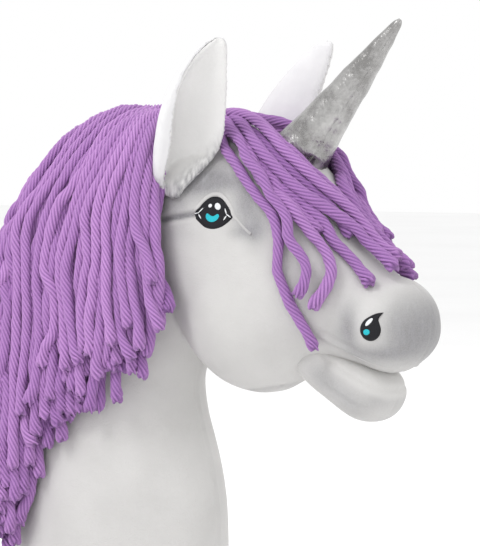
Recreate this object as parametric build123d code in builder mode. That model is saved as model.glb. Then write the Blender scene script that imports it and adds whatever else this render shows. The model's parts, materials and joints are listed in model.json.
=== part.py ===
"""Plush unicorn head on a stuffed neck, with a socket for a riding stick.

Millimetres, +Z up, +X the way the nose points, +Y the animal's left.
The origin is the mouth of the stick socket, in the middle of the flat neck base.
The right side is the one at -Y.
"""

import os
from math import acos, asin, atan2, cos, hypot, pi, radians, sin

from build123d import *

# ---------------------------------------------------------------- cloth and gaps
FABRIC = 2.0  # short-pile plush cloth, seams included
LAYER_GAP = 0.3  # between the cloth and its filling
PIECE_GAP = 0.6  # between bodies that move past each other
MIDLINE_GAP = 0.2  # half the gap between a right panel and its left twin

# ---------------------------------------------------------------- neck
# Each section is (back point, front point, half width); points are (x, z).
THROAT = (78.0, 176.0)
POLL = (60.0, 336.0)
JUNCTION_HALF_WIDTH = 47.0
NECK_MIDDLE = ((-70, 150), (69, 130), 51)
LOWER_NECK = [
    ((-76, 0), (76, 0), 54),
    ((-84, 14), (84, 14), 60),
    ((-84, 62), (85, 60), 59),
    NECK_MIDDLE,
]
UPPER_NECK = [
    NECK_MIDDLE,
    ((-66, 200), (66, 147), 49),
    ((-57, 255), (67, 158), 48),
    ((-28, 305), (70, 167), 48),
    (POLL, THROAT, JUNCTION_HALF_WIDTH),
]

# ---------------------------------------------------------------- head
MUZZLE_CENTRE = (229.0, 196.0)
MUZZLE_HALF_HEIGHT = 36.0
MUZZLE_HALF_WIDTH = 37.0
MUZZLE_DIP_DEG = 21.0  # how far the nose points below level
MUZZLE_CAP_ANGLES_DEG = (30, 55, 75)  # stations round the ball of the nose
FACE_SECTIONS = [
    (POLL, THROAT, JUNCTION_HALF_WIDTH),
    ((88, 337), (90, 156), 51),
    ((118, 334), (116, 149), 55),
    ((148, 324), (140, 150), 55),
    ((172, 304), (156, 158), 50),
    ((192, 276), (172, 168), 44),
    ((212, 247), (190, 170), 39),
]

# ---------------------------------------------------------------- mouth and lower jaw
MOUTH_CORNER = (192.0, 188.0)
MOUTH_SLOPE_DEG = 30.2  # the lip line drops this much towards the nose
JAW_PIVOT_BELOW_LIP = 21.5
JAW_PIVOT_BEHIND_CORNER = 21.0
JAW_LENGTH = 55.6  # pivot to the centre of the chin
CHIN_RADIUS = 22.0
JAW_HALF_WIDTH = 27.0
JAW_ROUNDING = 14.0
JAW_CHIN_ROUNDING = 20.0
JAW_OPEN_DEG = 12.0
LIP_GAP = 1.5  # clear space between the two mouth linings
LINING = 1.6
CHEEK_NOTCH = (163.0, 158.0)  # the cheeks end on a line from the mouth corner to here

# ---------------------------------------------------------------- stick socket and base
STICK_DIAMETER = 25.0
SOCKET_CLEARANCE = 0.3  # radial
SOCKET_WALL = 2.5
SOCKET_DEPTH = 150.0
END_CAP_THICKNESS = 6.0
BOARD_THICKNESS = 4.0
COVER_THICKNESS = 2.0

# ---------------------------------------------------------------- horn
HORN_BASE = (154.0, 315.5)
HORN_LEAN_DEG = 41.0  # forward of upright
HORN_RADIUS = 20.5
HORN_WAIST_RADIUS = 12.8  # half way up
HORN_TIP_RADIUS = 3.0
HORN_LENGTH = 122.0
HORN_PIVOT_DEPTH = 16.0
HORN_FABRIC = 1.2
HORN_SWAY_DEG = 8.0

# ---------------------------------------------------------------- ears
EAR_BASE = (94.0, -36.0, 300.0)
EAR_TIP = (130.0, -66.0, 394.0)
EAR_WIDE = (0.95, 0.30, 0.0)  # the way the ear is broad, and its folding seam
EAR_ROOT = 11.0  # radius of the rolled root
EAR_STATIONS = [  # share of the length, half width, half depth
    (0.0, 17, 10),
    (0.12, 19.5, 11),
    (0.4, 22, 12.5),
    (0.66, 17.5, 10.5),
    (0.88, 9.5, 6.5),
    (1.0, 2.6, 2.2),
]
EAR_MIDDLE_SCALE = 0.94  # where the outer cloth meets the lining
EAR_HOLLOW_SCALE = 0.88
EAR_HOLLOW_SHIFT = 5.0
EAR_INWARD_DEG = 15.0
EAR_OUTWARD_DEG = 30.0

# ---------------------------------------------------------------- yarn
YARN = 7.0
MANE_LAYERS = 2
MANE_GAP = 1.5
MANE_THICKNESS = YARN * MANE_LAYERS
MANE_MIDLINE = 1.8  # half the room that the tape takes along the crest
LOCK_GAP = 1.2
LOCK_EDGES_X = (80.0, 22.0, -18.0, -58.0)
LOCK_LOW_Z = ((190.0, 152.0), (150.0, 118.0), (116.0, 62.0))
REAR_LOCK_LOW_Z = 34.0
REAR_LOCK_TOP_Z = 258.0
TAPE_HALF_WIDTH = 1.0
TAPE_HEIGHT = 6.0
FORELOCK_HORN_CLEARANCE = 7.0
FORELOCK_MIDLINE = HORN_RADIUS + FORELOCK_HORN_CLEARANCE  # clear of the horn on each side
FORELOCK_OUTLINE = [(131, 380), (235, 300), (226, 236), (196, 196), (176, 214), (152, 262), (131, 292)]

# ---------------------------------------------------------------- eyes and nostrils
EYE = (114.0, 275.0)
EYE_WIDTH = 32.5
EYE_HEIGHT = 21.5
PATCH_THICKNESS = 1.0
STITCH_THICKNESS = 0.6
SEAT = 0.1  # glue line under a sewn patch
LID_WIDTH = 4.0
LID_THICKNESS = 3.0
NOSTRIL = (232.5, 197.0)
NOSTRIL_RADIUS = 7.0
NOSTRIL_TAIL = (9.0, 12.0)

REACH = 200.0  # long enough to cut right through the head
SIDE = Plane(origin=(0, 0, 0), x_dir=(1, 0, 0), z_dir=(0, -1, 0))  # sketches (x, z) from the right


def write(piece, name):
    """Labels a finished piece and writes it as its own STEP file."""
    piece.label = name
    export_step(piece, f"parts/{name}.step")


def write_pair(piece, name):
    """Writes a right-hand piece and its mirrored left-hand twin."""
    write(piece, f"{name}_right")
    write(mirror(piece, about=Plane.XZ), f"{name}_left")


# ================================================================ lofted forms
def section_plane(back, front):
    """The plane of a section that runs from its back point to its front point."""
    middle = ((back[0] + front[0]) / 2, 0, (back[1] + front[1]) / 2)
    along = (front[0] - back[0], 0, front[1] - back[1])
    return Plane(origin=middle, x_dir=along, z_dir=(-along[2], 0, along[0]))


def lofted(sections, grow, end_shift=0.0):
    """A closed solid through elliptical sections, each grown alike all round."""
    with BuildPart() as body:
        for index, (back, front, half_width) in enumerate(sections):
            plane = section_plane(back, front)
            if index == len(sections) - 1:
                plane = plane.offset(end_shift)
            half_length = hypot(front[0] - back[0], front[1] - back[1]) / 2
            with BuildSketch(plane):
                Ellipse(half_length + grow, half_width + grow)
        loft()
    return body.part


def muzzle_sections():
    """The widest section of the muzzle and the stations that round off the nose."""
    dip = radians(MUZZLE_DIP_DEG)
    stations = []
    for angle in (0, *MUZZLE_CAP_ANGLES_DEG):
        reach = MUZZLE_HALF_HEIGHT * sin(radians(angle))
        share = cos(radians(angle))
        x = MUZZLE_CENTRE[0] + reach * cos(dip)
        z = MUZZLE_CENTRE[1] - reach * sin(dip)
        half = MUZZLE_HALF_HEIGHT * share
        top = (x + half * sin(dip), z + half * cos(dip))
        bottom = (x - half * sin(dip), z - half * cos(dip))
        stations.append((top, bottom, MUZZLE_HALF_WIDTH * share))
    return stations


def neck_form(grow=0.0):
    with BuildPart() as neck:
        add(lofted(LOWER_NECK, grow))
        add(lofted(UPPER_NECK, grow))
    return neck.part


def skull_form(grow=0.0):
    """The head with no mouth."""
    return lofted([*FACE_SECTIONS, *muzzle_sections()], grow, end_shift=grow)


# ================================================================ mouth and jaw
SLOPE = radians(MOUTH_SLOPE_DEG)
LIP_ALONG = (cos(SLOPE), -sin(SLOPE))
LIP_UP = (sin(SLOPE), cos(SLOPE))
JAW_TOP = -LIP_GAP - LINING


def from_corner(along, up):
    """A point (x, z), given along and above the lip line from the corner of the mouth."""
    return (
        MOUTH_CORNER[0] + along * LIP_ALONG[0] + up * LIP_UP[0],
        MOUTH_CORNER[1] + along * LIP_ALONG[1] + up * LIP_UP[1],
    )


JAW_PIVOT = from_corner(-JAW_PIVOT_BEHIND_CORNER, -JAW_PIVOT_BELOW_LIP)
CHIN = from_corner(JAW_LENGTH - JAW_PIVOT_BEHIND_CORNER, -JAW_PIVOT_BELOW_LIP)
JAW_AXIS = Axis((JAW_PIVOT[0], 0, JAW_PIVOT[1]), (0, 1, 0))


def on_arc(centre_along, radius, angle):
    """A point on one of the jaw's arcs; the angle is measured up from the lip line."""
    return from_corner(centre_along + radius * cos(angle), radius * sin(angle) - JAW_PIVOT_BELOW_LIP)


def jaw_block(grow=0.0):
    """The lower jaw's side outline, two arcs and the lines between them, given its width."""
    root = JAW_PIVOT_BELOW_LIP + JAW_TOP + grow
    chin = CHIN_RADIUS + grow
    behind = -JAW_PIVOT_BEHIND_CORNER
    front = JAW_LENGTH - JAW_PIVOT_BEHIND_CORNER
    lip_angle = asin(root / chin)
    under_angle = -pi / 2 - asin((chin - root) / JAW_LENGTH)
    with BuildPart() as block:
        with BuildSketch(SIDE):
            with BuildLine():
                lip = on_arc(front, chin, lip_angle)
                chin_under = on_arc(front, chin, under_angle)
                root_under = on_arc(behind, root, under_angle)
                root_top = on_arc(behind, root, pi / 2)
                ThreePointArc(lip, on_arc(front, chin, (lip_angle + under_angle) / 2), chin_under)
                Line(chin_under, root_under)
                ThreePointArc(root_under, on_arc(behind, root, under_angle / 2 - 3 * pi / 4), root_top)
                Line(root_top, lip)
            make_face()
        extrude(amount=JAW_HALF_WIDTH + grow, both=True)
    return block.part


def jaw_form(grow=0.0):
    """The jaw rounded along its lower edges and round the chin."""
    width = 2 * (JAW_HALF_WIDTH + grow)
    depth = 2 * (JAW_PIVOT_BELOW_LIP + CHIN_RADIUS + grow)
    root = JAW_PIVOT_BELOW_LIP + JAW_TOP
    length = JAW_LENGTH + root + CHIN_RADIUS + 2 * grow
    middle = from_corner((JAW_LENGTH + CHIN_RADIUS - root) / 2 - JAW_PIVOT_BEHIND_CORNER, 0)
    centre = (middle[0], 0, middle[1])
    with BuildPart() as jaw:
        add(jaw_block(grow))
        with BuildSketch(Plane(origin=centre, x_dir=(0, 1, 0), z_dir=(LIP_ALONG[0], 0, LIP_ALONG[1]))):
            RectangleRounded(width, depth, JAW_ROUNDING + grow)
        extrude(amount=REACH, both=True, mode=Mode.INTERSECT)
        with BuildSketch(Plane(origin=centre, x_dir=(0, 1, 0), z_dir=(LIP_UP[0], 0, LIP_UP[1]))):
            RectangleRounded(width, length, JAW_CHIN_ROUNDING + grow)
        extrude(amount=REACH, both=True, mode=Mode.INTERSECT)
    return jaw.part


def slab(points, low_y=-REACH, high_y=REACH):
    """A block with the outline (x, z) between two planes across Y."""
    with BuildPart() as block:
        with BuildSketch(SIDE.offset(-high_y)):
            Polygon(*points, align=None)
        extrude(amount=high_y - low_y)
    return block.part


def mouth_space(margin=0.0):
    """What the mouth and the jaw's travel take out of the head, with a margin round it."""
    lip = LINING + margin
    corner = from_corner(-margin, lip)
    notch = (CHEEK_NOTCH[0] - margin, CHEEK_NOTCH[1] + margin)
    below = (2 * notch[0] - corner[0], 2 * notch[1] - corner[1])
    with BuildPart() as space:
        add(slab([corner, from_corner(REACH, lip), from_corner(REACH, -REACH), below]))
        for turn in (0, JAW_OPEN_DEG / 2, JAW_OPEN_DEG):
            add(jaw_block(PIECE_GAP + margin).rotate(JAW_AXIS, turn))
    return space.part


def half_space(side, low=MIDLINE_GAP):
    """Everything on one side of the middle; -1 is the right side."""
    with BuildPart() as block:
        with Locations((0, side * (low + REACH / 2), REACH)):
            Box(4 * REACH, REACH, 3 * REACH)
    return block.part


RIGHT = half_space(-1)


def right_panel(outer, inner, *cuts):
    """The right half of the cloth between two layers, less anything let into it."""
    with BuildPart() as panel:
        add(outer)
        add(inner, mode=Mode.SUBTRACT)
        for cut in cuts:
            add(cut, mode=Mode.SUBTRACT)
        add(RIGHT, mode=Mode.INTERSECT)
    return panel.part


def less(solid, *cuts):
    with BuildPart() as rest:
        add(solid)
        for cut in cuts:
            add(cut, mode=Mode.SUBTRACT)
    return rest.part


def common(solid, *others):
    with BuildPart() as shared:
        add(solid)
        for other in others:
            add(other, mode=Mode.INTERSECT)
    return shared.part


# ================================================================ horn
HORN_LEAN = radians(HORN_LEAN_DEG)
HORN_PIVOT = (
    HORN_BASE[0] - HORN_PIVOT_DEPTH * sin(HORN_LEAN),
    HORN_BASE[1] - HORN_PIVOT_DEPTH * cos(HORN_LEAN),
)
HORN_PLANE = Plane(
    origin=(HORN_PIVOT[0], 0, HORN_PIVOT[1]),
    x_dir=(0, -1, 0),
    z_dir=(sin(HORN_LEAN), 0, cos(HORN_LEAN)),
)
HORN_BALL = hypot(HORN_RADIUS, HORN_PIVOT_DEPTH)


def horn_form(grow=0.0):
    """A plump cone on a ball-shaped root; the pivot is the ball's centre."""
    top = HORN_PIVOT_DEPTH + HORN_LENGTH + grow
    tip = HORN_TIP_RADIUS + grow / 2
    with BuildPart() as horn:
        with BuildSketch(Plane.XZ):
            with BuildLine():
                base = (HORN_RADIUS + grow, HORN_PIVOT_DEPTH)
                waist = (HORN_WAIST_RADIUS + grow, HORN_PIVOT_DEPTH + HORN_LENGTH / 2)
                shoulder = (tip, top - tip)
                ThreePointArc(base, waist, shoulder)
                ThreePointArc(shoulder, (tip * sin(pi / 4), top - tip + tip * cos(pi / 4)), (0, top))
                Polyline((0, top), (0, HORN_PIVOT_DEPTH), base)
            make_face()
        revolve(axis=Axis.Z)
        Sphere(HORN_BALL + grow)
        with Locations((0, 0, -HORN_BALL)):
            Box(80, 80, HORN_BALL, mode=Mode.SUBTRACT)
    return horn.part.moved(HORN_PLANE.location)


def horn_pocket():
    """The room in the head for the horn's root over its whole sway."""
    hinge = Axis((HORN_PIVOT[0], 0, HORN_PIVOT[1]), (0, 1, 0))
    with BuildPart() as pocket:
        with Locations((HORN_PIVOT[0], 0, HORN_PIVOT[1])):
            Sphere(HORN_BALL + PIECE_GAP)
        for sway in (-HORN_SWAY_DEG, 0, HORN_SWAY_DEG):
            add(horn_form(PIECE_GAP).rotate(hinge, sway))
    return pocket.part


# ================================================================ ears
EAR_UP = (Vector(EAR_TIP) - Vector(EAR_BASE)).normalized()
EAR_ACROSS = (Vector(EAR_WIDE) - EAR_UP * Vector(EAR_WIDE).dot(EAR_UP)).normalized()
EAR_PLANE = Plane(origin=EAR_BASE, x_dir=EAR_ACROSS, z_dir=EAR_UP)  # hollow side is local -Y
EAR_LENGTH = (Vector(EAR_TIP) - Vector(EAR_BASE)).length


def ear_bud(scale, shift, low, high):
    """A closed bud, smaller and pushed to the hollow side as asked."""
    with BuildPart() as bud:
        for share, half_width, half_depth in EAR_STATIONS:
            plane = Plane(origin=(0, -shift, low + share * (high - low)))
            with BuildSketch(plane):
                Ellipse(half_width * scale, half_depth * scale)
        loft()
    return bud.part


def ear_outside():
    """The whole ear with its root rolled round the folding seam."""
    with BuildPart() as ear:
        add(ear_bud(1.0, 0.0, -EAR_ROOT, EAR_LENGTH))
        with BuildPart(mode=Mode.SUBTRACT):
            with Locations((0, 0, -REACH / 2)):
                Box(REACH, REACH, REACH)
            with Locations(Rotation(0, 90, 0)):
                Cylinder(EAR_ROOT, REACH, mode=Mode.SUBTRACT)
    return ear.part


def ear_pocket():
    """The room in the head for the ear's root over its whole swing."""
    wall = EAR_ROOT + 1.5
    half_width = EAR_STATIONS[2][1] + PIECE_GAP
    outward = radians(EAR_OUTWARD_DEG)
    inward = radians(EAR_INWARD_DEG)
    up = 70.0
    with BuildPart() as pocket:
        with BuildSketch(Plane(origin=(-half_width, 0, 0), x_dir=(0, 1, 0), z_dir=(1, 0, 0))):
            Circle(wall)
            Polygon(
                (wall * cos(inward), -wall * sin(inward)),
                (wall * cos(inward) + up * sin(inward), up * cos(inward) - wall * sin(inward)),
                (-wall * cos(outward) - up * sin(outward), up * cos(outward) - wall * sin(outward)),
                (-wall * cos(outward), -wall * sin(outward)),
                align=None,
            )
        extrude(amount=2 * half_width)
    return pocket.part.moved(EAR_PLANE.location)


# ================================================================ sewn features
def almond(width, height):
    """An eye outline about its centre from two arcs, drawn in (x, z)."""
    with BuildSketch() as shape:
        with BuildLine():
            front = (width / 2, 0)
            back = (-width / 2, 0)
            ThreePointArc(back, (0, height / 2), front)
            ThreePointArc(front, (0, -height / 2), back)
        make_face()
    return shape.sketch


def sewn_on(outline, centre, low, high):
    """A thin right-hand patch that follows the head, between two heights over the cloth."""
    with BuildPart() as patch:
        with BuildSketch(SIDE):
            with Locations(centre):
                add(outline)
        extrude(amount=REACH)
        add(skull_form(high), mode=Mode.INTERSECT)
        add(skull_form(low), mode=Mode.SUBTRACT)
    return patch.part


def drop_shape():
    """A nostril: a circle drawn out to a point up and forward."""
    with BuildSketch() as shape:
        Circle(NOSTRIL_RADIUS)
        reach = hypot(*NOSTRIL_TAIL)
        spread = acos(NOSTRIL_RADIUS / reach)
        heading = atan2(NOSTRIL_TAIL[1], NOSTRIL_TAIL[0])
        touch = []
        for side in (1, -1):
            angle = heading + side * spread
            touch.append((NOSTRIL_RADIUS * cos(angle), NOSTRIL_RADIUS * sin(angle)))
        Polygon(touch[0], NOSTRIL_TAIL, touch[1], align=None)
    return shape.sketch


def sketch_less(outline, *cuts):
    with BuildSketch() as rest:
        add(outline)
        for cut in cuts:
            add(cut, mode=Mode.SUBTRACT)
    return rest.sketch


def dot(width, height, place):
    """A small ellipse at a place (x, z) from the middle of the feature."""
    with BuildSketch() as shape:
        with Locations(place):
            Ellipse(width / 2, height / 2)
    return shape.sketch


# ================================================================ yarn
def lock(low_x, high_x, front_low_z, back_low_z):
    """A hanging part of the mane on the right, with a sloping cut end."""
    outline = [(low_x, back_low_z), (high_x, front_low_z), (high_x, 2 * REACH), (low_x, 2 * REACH)]
    return common(MANE_SHELL, slab(outline), half_space(-1, MANE_MIDLINE))


MANE_SHELL = less(neck_form(MANE_GAP + MANE_THICKNESS), neck_form(MANE_GAP))

os.makedirs("parts", exist_ok=True)

# ================================================================ neck pieces
tube_radius = STICK_DIAMETER / 2 + SOCKET_CLEARANCE + SOCKET_WALL
board_low = COVER_THICKNESS + SEAT
board_high = board_low + BOARD_THICKNESS
socket_top = SOCKET_DEPTH + SEAT + END_CAP_THICKNESS

write_pair(right_panel(neck_form(), neck_form(-FABRIC)), "neck_skin")

with BuildPart() as neck_stuffing:
    add(neck_form(-FABRIC - LAYER_GAP))
    with Locations((0, 0, 0)):
        Box(2 * REACH, REACH, 2 * (board_high + SEAT), mode=Mode.SUBTRACT)
        Cylinder(tube_radius + LAYER_GAP, 2 * (socket_top + SEAT), mode=Mode.SUBTRACT)
write(neck_stuffing.part, "neck_stuffing")

base_plug = less(neck_form(-FABRIC - LAYER_GAP), Cylinder(tube_radius + SEAT, REACH))
for name, low, high in (("base_cover", 0, COVER_THICKNESS), ("base_board", board_low, board_high)):
    write(common(base_plug, slab([(-REACH, low), (REACH, low), (REACH, high), (-REACH, high)])), name)

with BuildPart() as tube:
    Cylinder(tube_radius, SOCKET_DEPTH, align=(Align.CENTER, Align.CENTER, Align.MIN))
    Cylinder(tube_radius - SOCKET_WALL, 3 * SOCKET_DEPTH, mode=Mode.SUBTRACT)
write(tube.part, "stick_socket_tube")

with BuildPart() as end_cap:
    with Locations((0, 0, SOCKET_DEPTH + SEAT)):
        Cylinder(tube_radius, END_CAP_THICKNESS, align=(Align.CENTER, Align.CENTER, Align.MIN))
write(end_cap.part, "socket_end_cap")

# ================================================================ head pieces
ear_room = ear_pocket()
ear_room_left = mirror(ear_room, about=Plane.XZ)
horn_room = horn_pocket()
head_outer = less(skull_form(), mouth_space())
head_inner = less(skull_form(-FABRIC), mouth_space(FABRIC))
write_pair(right_panel(head_outer, head_inner, horn_room, ear_room), "head_skin")

fill_inset = FABRIC + LAYER_GAP
head_fill = less(skull_form(-fill_inset), mouth_space(fill_inset), horn_room, ear_room, ear_room_left)
write(head_fill, "head_stuffing")

palate = slab([
    from_corner(2 * PIECE_GAP, 0),
    from_corner(REACH, 0),
    from_corner(REACH, LINING - SEAT),
    from_corner(2 * PIECE_GAP, LINING - SEAT),
])
write(common(skull_form(-SEAT), palate), "palate_lining")

# ================================================================ jaw pieces
jaw_core = jaw_form(-FABRIC - LAYER_GAP)
write(less(jaw_form(), jaw_form(-FABRIC)), "jaw_skin")
write(jaw_core, "jaw_stuffing")

jaw_lip = JAW_TOP + SEAT
tongue_side = slab([
    from_corner(2 * PIECE_GAP, jaw_lip),
    from_corner(REACH, jaw_lip),
    from_corner(REACH, jaw_lip + LINING - SEAT),
    from_corner(2 * PIECE_GAP, jaw_lip + LINING - SEAT),
])
lip_outline = jaw_form(-SEAT)
lip_shift = (LIP_UP[0] * LINING, 0, LIP_UP[1] * LINING)
write(common(tongue_side, lip_outline.moved(Location(lip_shift))), "jaw_lining")

# ================================================================ horn pieces
write(less(horn_form(), horn_form(-HORN_FABRIC)), "horn_cover")
write(horn_form(-HORN_FABRIC - LAYER_GAP), "horn_stuffing")

# ================================================================ ear pieces
ear = ear_outside()
ear_middle = ear_bud(EAR_MIDDLE_SCALE, EAR_HOLLOW_SHIFT / 2, 7.0, EAR_LENGTH - 4.0)
ear_middle_fine = ear_bud(EAR_MIDDLE_SCALE - 0.01, EAR_HOLLOW_SHIFT / 2, 7.3, EAR_LENGTH - 4.5)
ear_hollow = ear_bud(EAR_HOLLOW_SCALE, EAR_HOLLOW_SHIFT, 14.0, EAR_LENGTH - 8.0)
write_pair(less(ear, ear_middle).moved(EAR_PLANE.location), "ear_outer")
write_pair(less(common(ear, ear_middle_fine), ear_hollow).moved(EAR_PLANE.location), "ear_lining")

# ================================================================ mane and forelock
for number in range(3):
    high_x = LOCK_EDGES_X[number] - LOCK_GAP / 2
    low_x = LOCK_EDGES_X[number + 1] + LOCK_GAP / 2
    write_pair(lock(low_x, high_x, *LOCK_LOW_Z[number]), f"mane_{number + 1}")

rear_edge = LOCK_EDGES_X[3] - LOCK_GAP / 2
rear_outline = [
    (rear_edge, REAR_LOCK_LOW_Z), (rear_edge, REAR_LOCK_TOP_Z),
    (-REACH, REAR_LOCK_TOP_Z), (-REACH, REAR_LOCK_LOW_Z),
]
write(common(MANE_SHELL, slab(rear_outline)), "mane_rear")

crest = [(64, 380), (-150, 380), (-150, REAR_LOCK_TOP_Z + 10), (-20, REAR_LOCK_TOP_Z), (60, 300)]
tape_layer = less(neck_form(SEAT + TAPE_HEIGHT), neck_form(SEAT))
write(common(tape_layer, slab(crest, -TAPE_HALF_WIDTH, TAPE_HALF_WIDTH)), "mane_tape")

forelock_layer = less(skull_form(MANE_GAP + MANE_THICKNESS), skull_form(MANE_GAP))
write_pair(common(forelock_layer, slab(FORELOCK_OUTLINE, -REACH, -FORELOCK_MIDLINE)), "forelock")

# ================================================================ eyes and nostrils
stitch_low = PATCH_THICKNESS + 2 * SEAT
stitch_high = stitch_low + STITCH_THICKNESS
eye_shape = almond(EYE_WIDTH, EYE_HEIGHT)
iris_shape = sketch_less(
    almond(EYE_WIDTH * 0.62, EYE_HEIGHT * 0.62),
    dot(EYE_WIDTH * 0.7, EYE_HEIGHT * 0.62, (0, EYE_HEIGHT * 0.12)),
)
write_pair(sewn_on(eye_shape, EYE, SEAT, SEAT + PATCH_THICKNESS), "eye_patch")
write_pair(sewn_on(iris_shape, EYE, stitch_low, stitch_high), "eye_iris")
for name, place, size in (
    ("eye_light_front", (3.5, 4.5), (4.6, 4.2)),
    ("eye_light_back", (-2.6, 5.0), (3.4, 3.0)),
    ("eye_corner_front", (12.0, -1.2), (4.0, 1.6)),
    ("eye_corner_back", (-12.0, -0.4), (4.0, 1.6)),
):
    write_pair(sewn_on(dot(*size, place), EYE, stitch_low, stitch_high), name)

lid_outer = almond(EYE_WIDTH + 1, EYE_HEIGHT + 2 * LID_WIDTH)
with BuildSketch() as lid_band:
    add(lid_outer)
    add(almond(EYE_WIDTH + 1.6, EYE_HEIGHT + 0.6), mode=Mode.SUBTRACT)
    with Locations((0, -REACH / 2 + 1.0)):
        Rectangle(REACH, REACH, mode=Mode.SUBTRACT)
write_pair(sewn_on(lid_band.sketch, EYE, SEAT, SEAT + LID_THICKNESS), "eyelid")

write_pair(sewn_on(drop_shape(), NOSTRIL, SEAT, SEAT + PATCH_THICKNESS), "nostril_patch")
write_pair(sewn_on(dot(3.6, 3.2, (-0.5, 4.0)), NOSTRIL, stitch_low, stitch_high), "nostril_light")
write_pair(sewn_on(dot(5.0, 3.4, (-1.6, -1.8)), NOSTRIL, stitch_low, stitch_high), "nostril_dot")
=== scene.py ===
"""Looks of the plush unicorn head: cloth skin, yarn mane, horn, ears, eyes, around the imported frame."""

import json
import math
import random

import bmesh
import bpy
import numpy as np
from mathutils import Matrix, Vector, kdtree, noise
from mathutils.bvhtree import BVHTree

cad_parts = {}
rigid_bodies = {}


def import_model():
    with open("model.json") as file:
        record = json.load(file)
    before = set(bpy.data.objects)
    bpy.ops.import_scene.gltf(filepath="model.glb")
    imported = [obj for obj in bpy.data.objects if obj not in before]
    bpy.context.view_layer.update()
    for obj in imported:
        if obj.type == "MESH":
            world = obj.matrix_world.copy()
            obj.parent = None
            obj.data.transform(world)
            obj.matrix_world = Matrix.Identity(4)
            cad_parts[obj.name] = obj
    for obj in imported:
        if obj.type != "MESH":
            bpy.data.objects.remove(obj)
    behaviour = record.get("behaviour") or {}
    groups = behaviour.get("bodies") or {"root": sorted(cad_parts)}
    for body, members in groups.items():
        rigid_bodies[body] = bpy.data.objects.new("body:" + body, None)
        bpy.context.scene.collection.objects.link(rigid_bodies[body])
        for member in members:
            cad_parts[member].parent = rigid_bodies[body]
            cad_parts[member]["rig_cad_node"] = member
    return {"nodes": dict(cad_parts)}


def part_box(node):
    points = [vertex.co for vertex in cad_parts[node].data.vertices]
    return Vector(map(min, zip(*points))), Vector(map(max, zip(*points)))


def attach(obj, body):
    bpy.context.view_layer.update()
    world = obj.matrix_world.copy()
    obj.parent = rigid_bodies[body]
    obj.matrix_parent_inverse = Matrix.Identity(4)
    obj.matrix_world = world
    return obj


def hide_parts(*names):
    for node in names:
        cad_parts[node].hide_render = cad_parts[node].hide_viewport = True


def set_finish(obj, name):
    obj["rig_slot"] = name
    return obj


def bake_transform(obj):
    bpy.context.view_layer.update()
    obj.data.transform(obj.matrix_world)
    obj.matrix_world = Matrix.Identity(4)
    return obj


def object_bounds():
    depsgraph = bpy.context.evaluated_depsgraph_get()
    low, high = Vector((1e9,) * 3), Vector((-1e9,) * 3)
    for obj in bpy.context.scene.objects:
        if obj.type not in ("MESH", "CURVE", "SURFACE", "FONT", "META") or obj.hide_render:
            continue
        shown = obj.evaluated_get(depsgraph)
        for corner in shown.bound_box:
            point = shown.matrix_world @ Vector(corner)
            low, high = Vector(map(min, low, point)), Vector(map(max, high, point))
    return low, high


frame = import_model()
CAD_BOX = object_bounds()
MM = 0.001
ROOT = "head_and_neck"
SIDES = (("right", -1), ("left", 1))
random.seed(41)


# ======== small tools
def smooth(low, high, value):
    """0 below low, 1 above high, easing between."""
    t = min(1.0, max(0.0, (value - low) / (high - low)))
    return t * t * (3 - 2 * t)


def bump(distance, width):
    return math.exp(-(distance / width) ** 2)


def new_object(name, data):
    obj = bpy.data.objects.new(name, data)
    bpy.context.collection.objects.link(obj)
    return obj


def add_mesh(name, verts_mm, faces, shade=True):
    mesh = bpy.data.meshes.new(name)
    mesh.from_pydata([Vector(v) * MM for v in verts_mm], [], faces)
    mesh.validate()
    if shade:
        mesh.shade_smooth()
    return new_object(name, mesh)


def ring_faces(rings, around, capped=True):
    """Faces of a tube through rings of points, with both ends closed if capped."""
    faces = []
    for r in range(rings - 1):
        for k in range(around):
            n = (k + 1) % around
            faces.append((r * around + k, r * around + n, (r + 1) * around + n, (r + 1) * around + k))
    if capped:
        faces.append(tuple(range(around))[::-1])
        faces.append(tuple(range((rings - 1) * around, rings * around)))
    return faces


def grid_faces(rows, cols):
    corners = [i * cols + j for i in range(rows - 1) for j in range(cols - 1)]
    return [(a, a + 1, a + cols + 1, a + cols) for a in corners]


def mend_normals(obj, close=False):
    """Turns the faces outward, after closing any open edge if close is set."""
    bm = bmesh.new()
    bm.from_mesh(obj.data)
    if close:
        bmesh.ops.holes_fill(bm, edges=bm.edges)
    bmesh.ops.recalc_face_normals(bm, faces=bm.faces)
    bm.to_mesh(obj.data)
    bm.free()
    return obj


def apply_modifiers(obj):
    depsgraph = bpy.context.evaluated_depsgraph_get()
    mesh = bpy.data.meshes.new_from_object(obj.evaluated_get(depsgraph))
    obj.modifiers.clear()
    obj.data = mesh
    mesh.shade_smooth()
    return obj


def remesh(obj, voxel_mm, rounds=0, factor=0.5):
    modifier = obj.modifiers.new("skin", "REMESH")
    modifier.mode = "VOXEL"
    modifier.voxel_size = voxel_mm * MM
    modifier.use_smooth_shade = True
    if rounds:
        ease = obj.modifiers.new("ease", "SMOOTH")
        ease.iterations = rounds
        ease.factor = factor
    return apply_modifiers(obj)


def join(objects, name):
    bm = bmesh.new()
    for obj in objects:
        bm.from_mesh(obj.data)
        bpy.data.objects.remove(obj)
    mesh = bpy.data.meshes.new(name)
    bm.to_mesh(mesh)
    bm.free()
    return new_object(name, mesh)


def catmull(points, count):
    """Points evenly spaced in parameter along a smooth curve through the given ones."""
    pts = [np.array(p, float) for p in points]
    pts = [2 * pts[0] - pts[1], *pts, 2 * pts[-1] - pts[-2]]
    spans = len(pts) - 3
    out = []
    for i in range(count):
        t = i / (count - 1) * spans
        k = min(int(t), spans - 1)
        u = t - k
        a, b, c, d = pts[k : k + 4]
        out.append(
            0.5 * (2 * b + (c - a) * u + (2 * a - 5 * b + 4 * c - d) * u * u + (3 * b - a - 3 * c + d) * u**3)
        )
    return out


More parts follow.
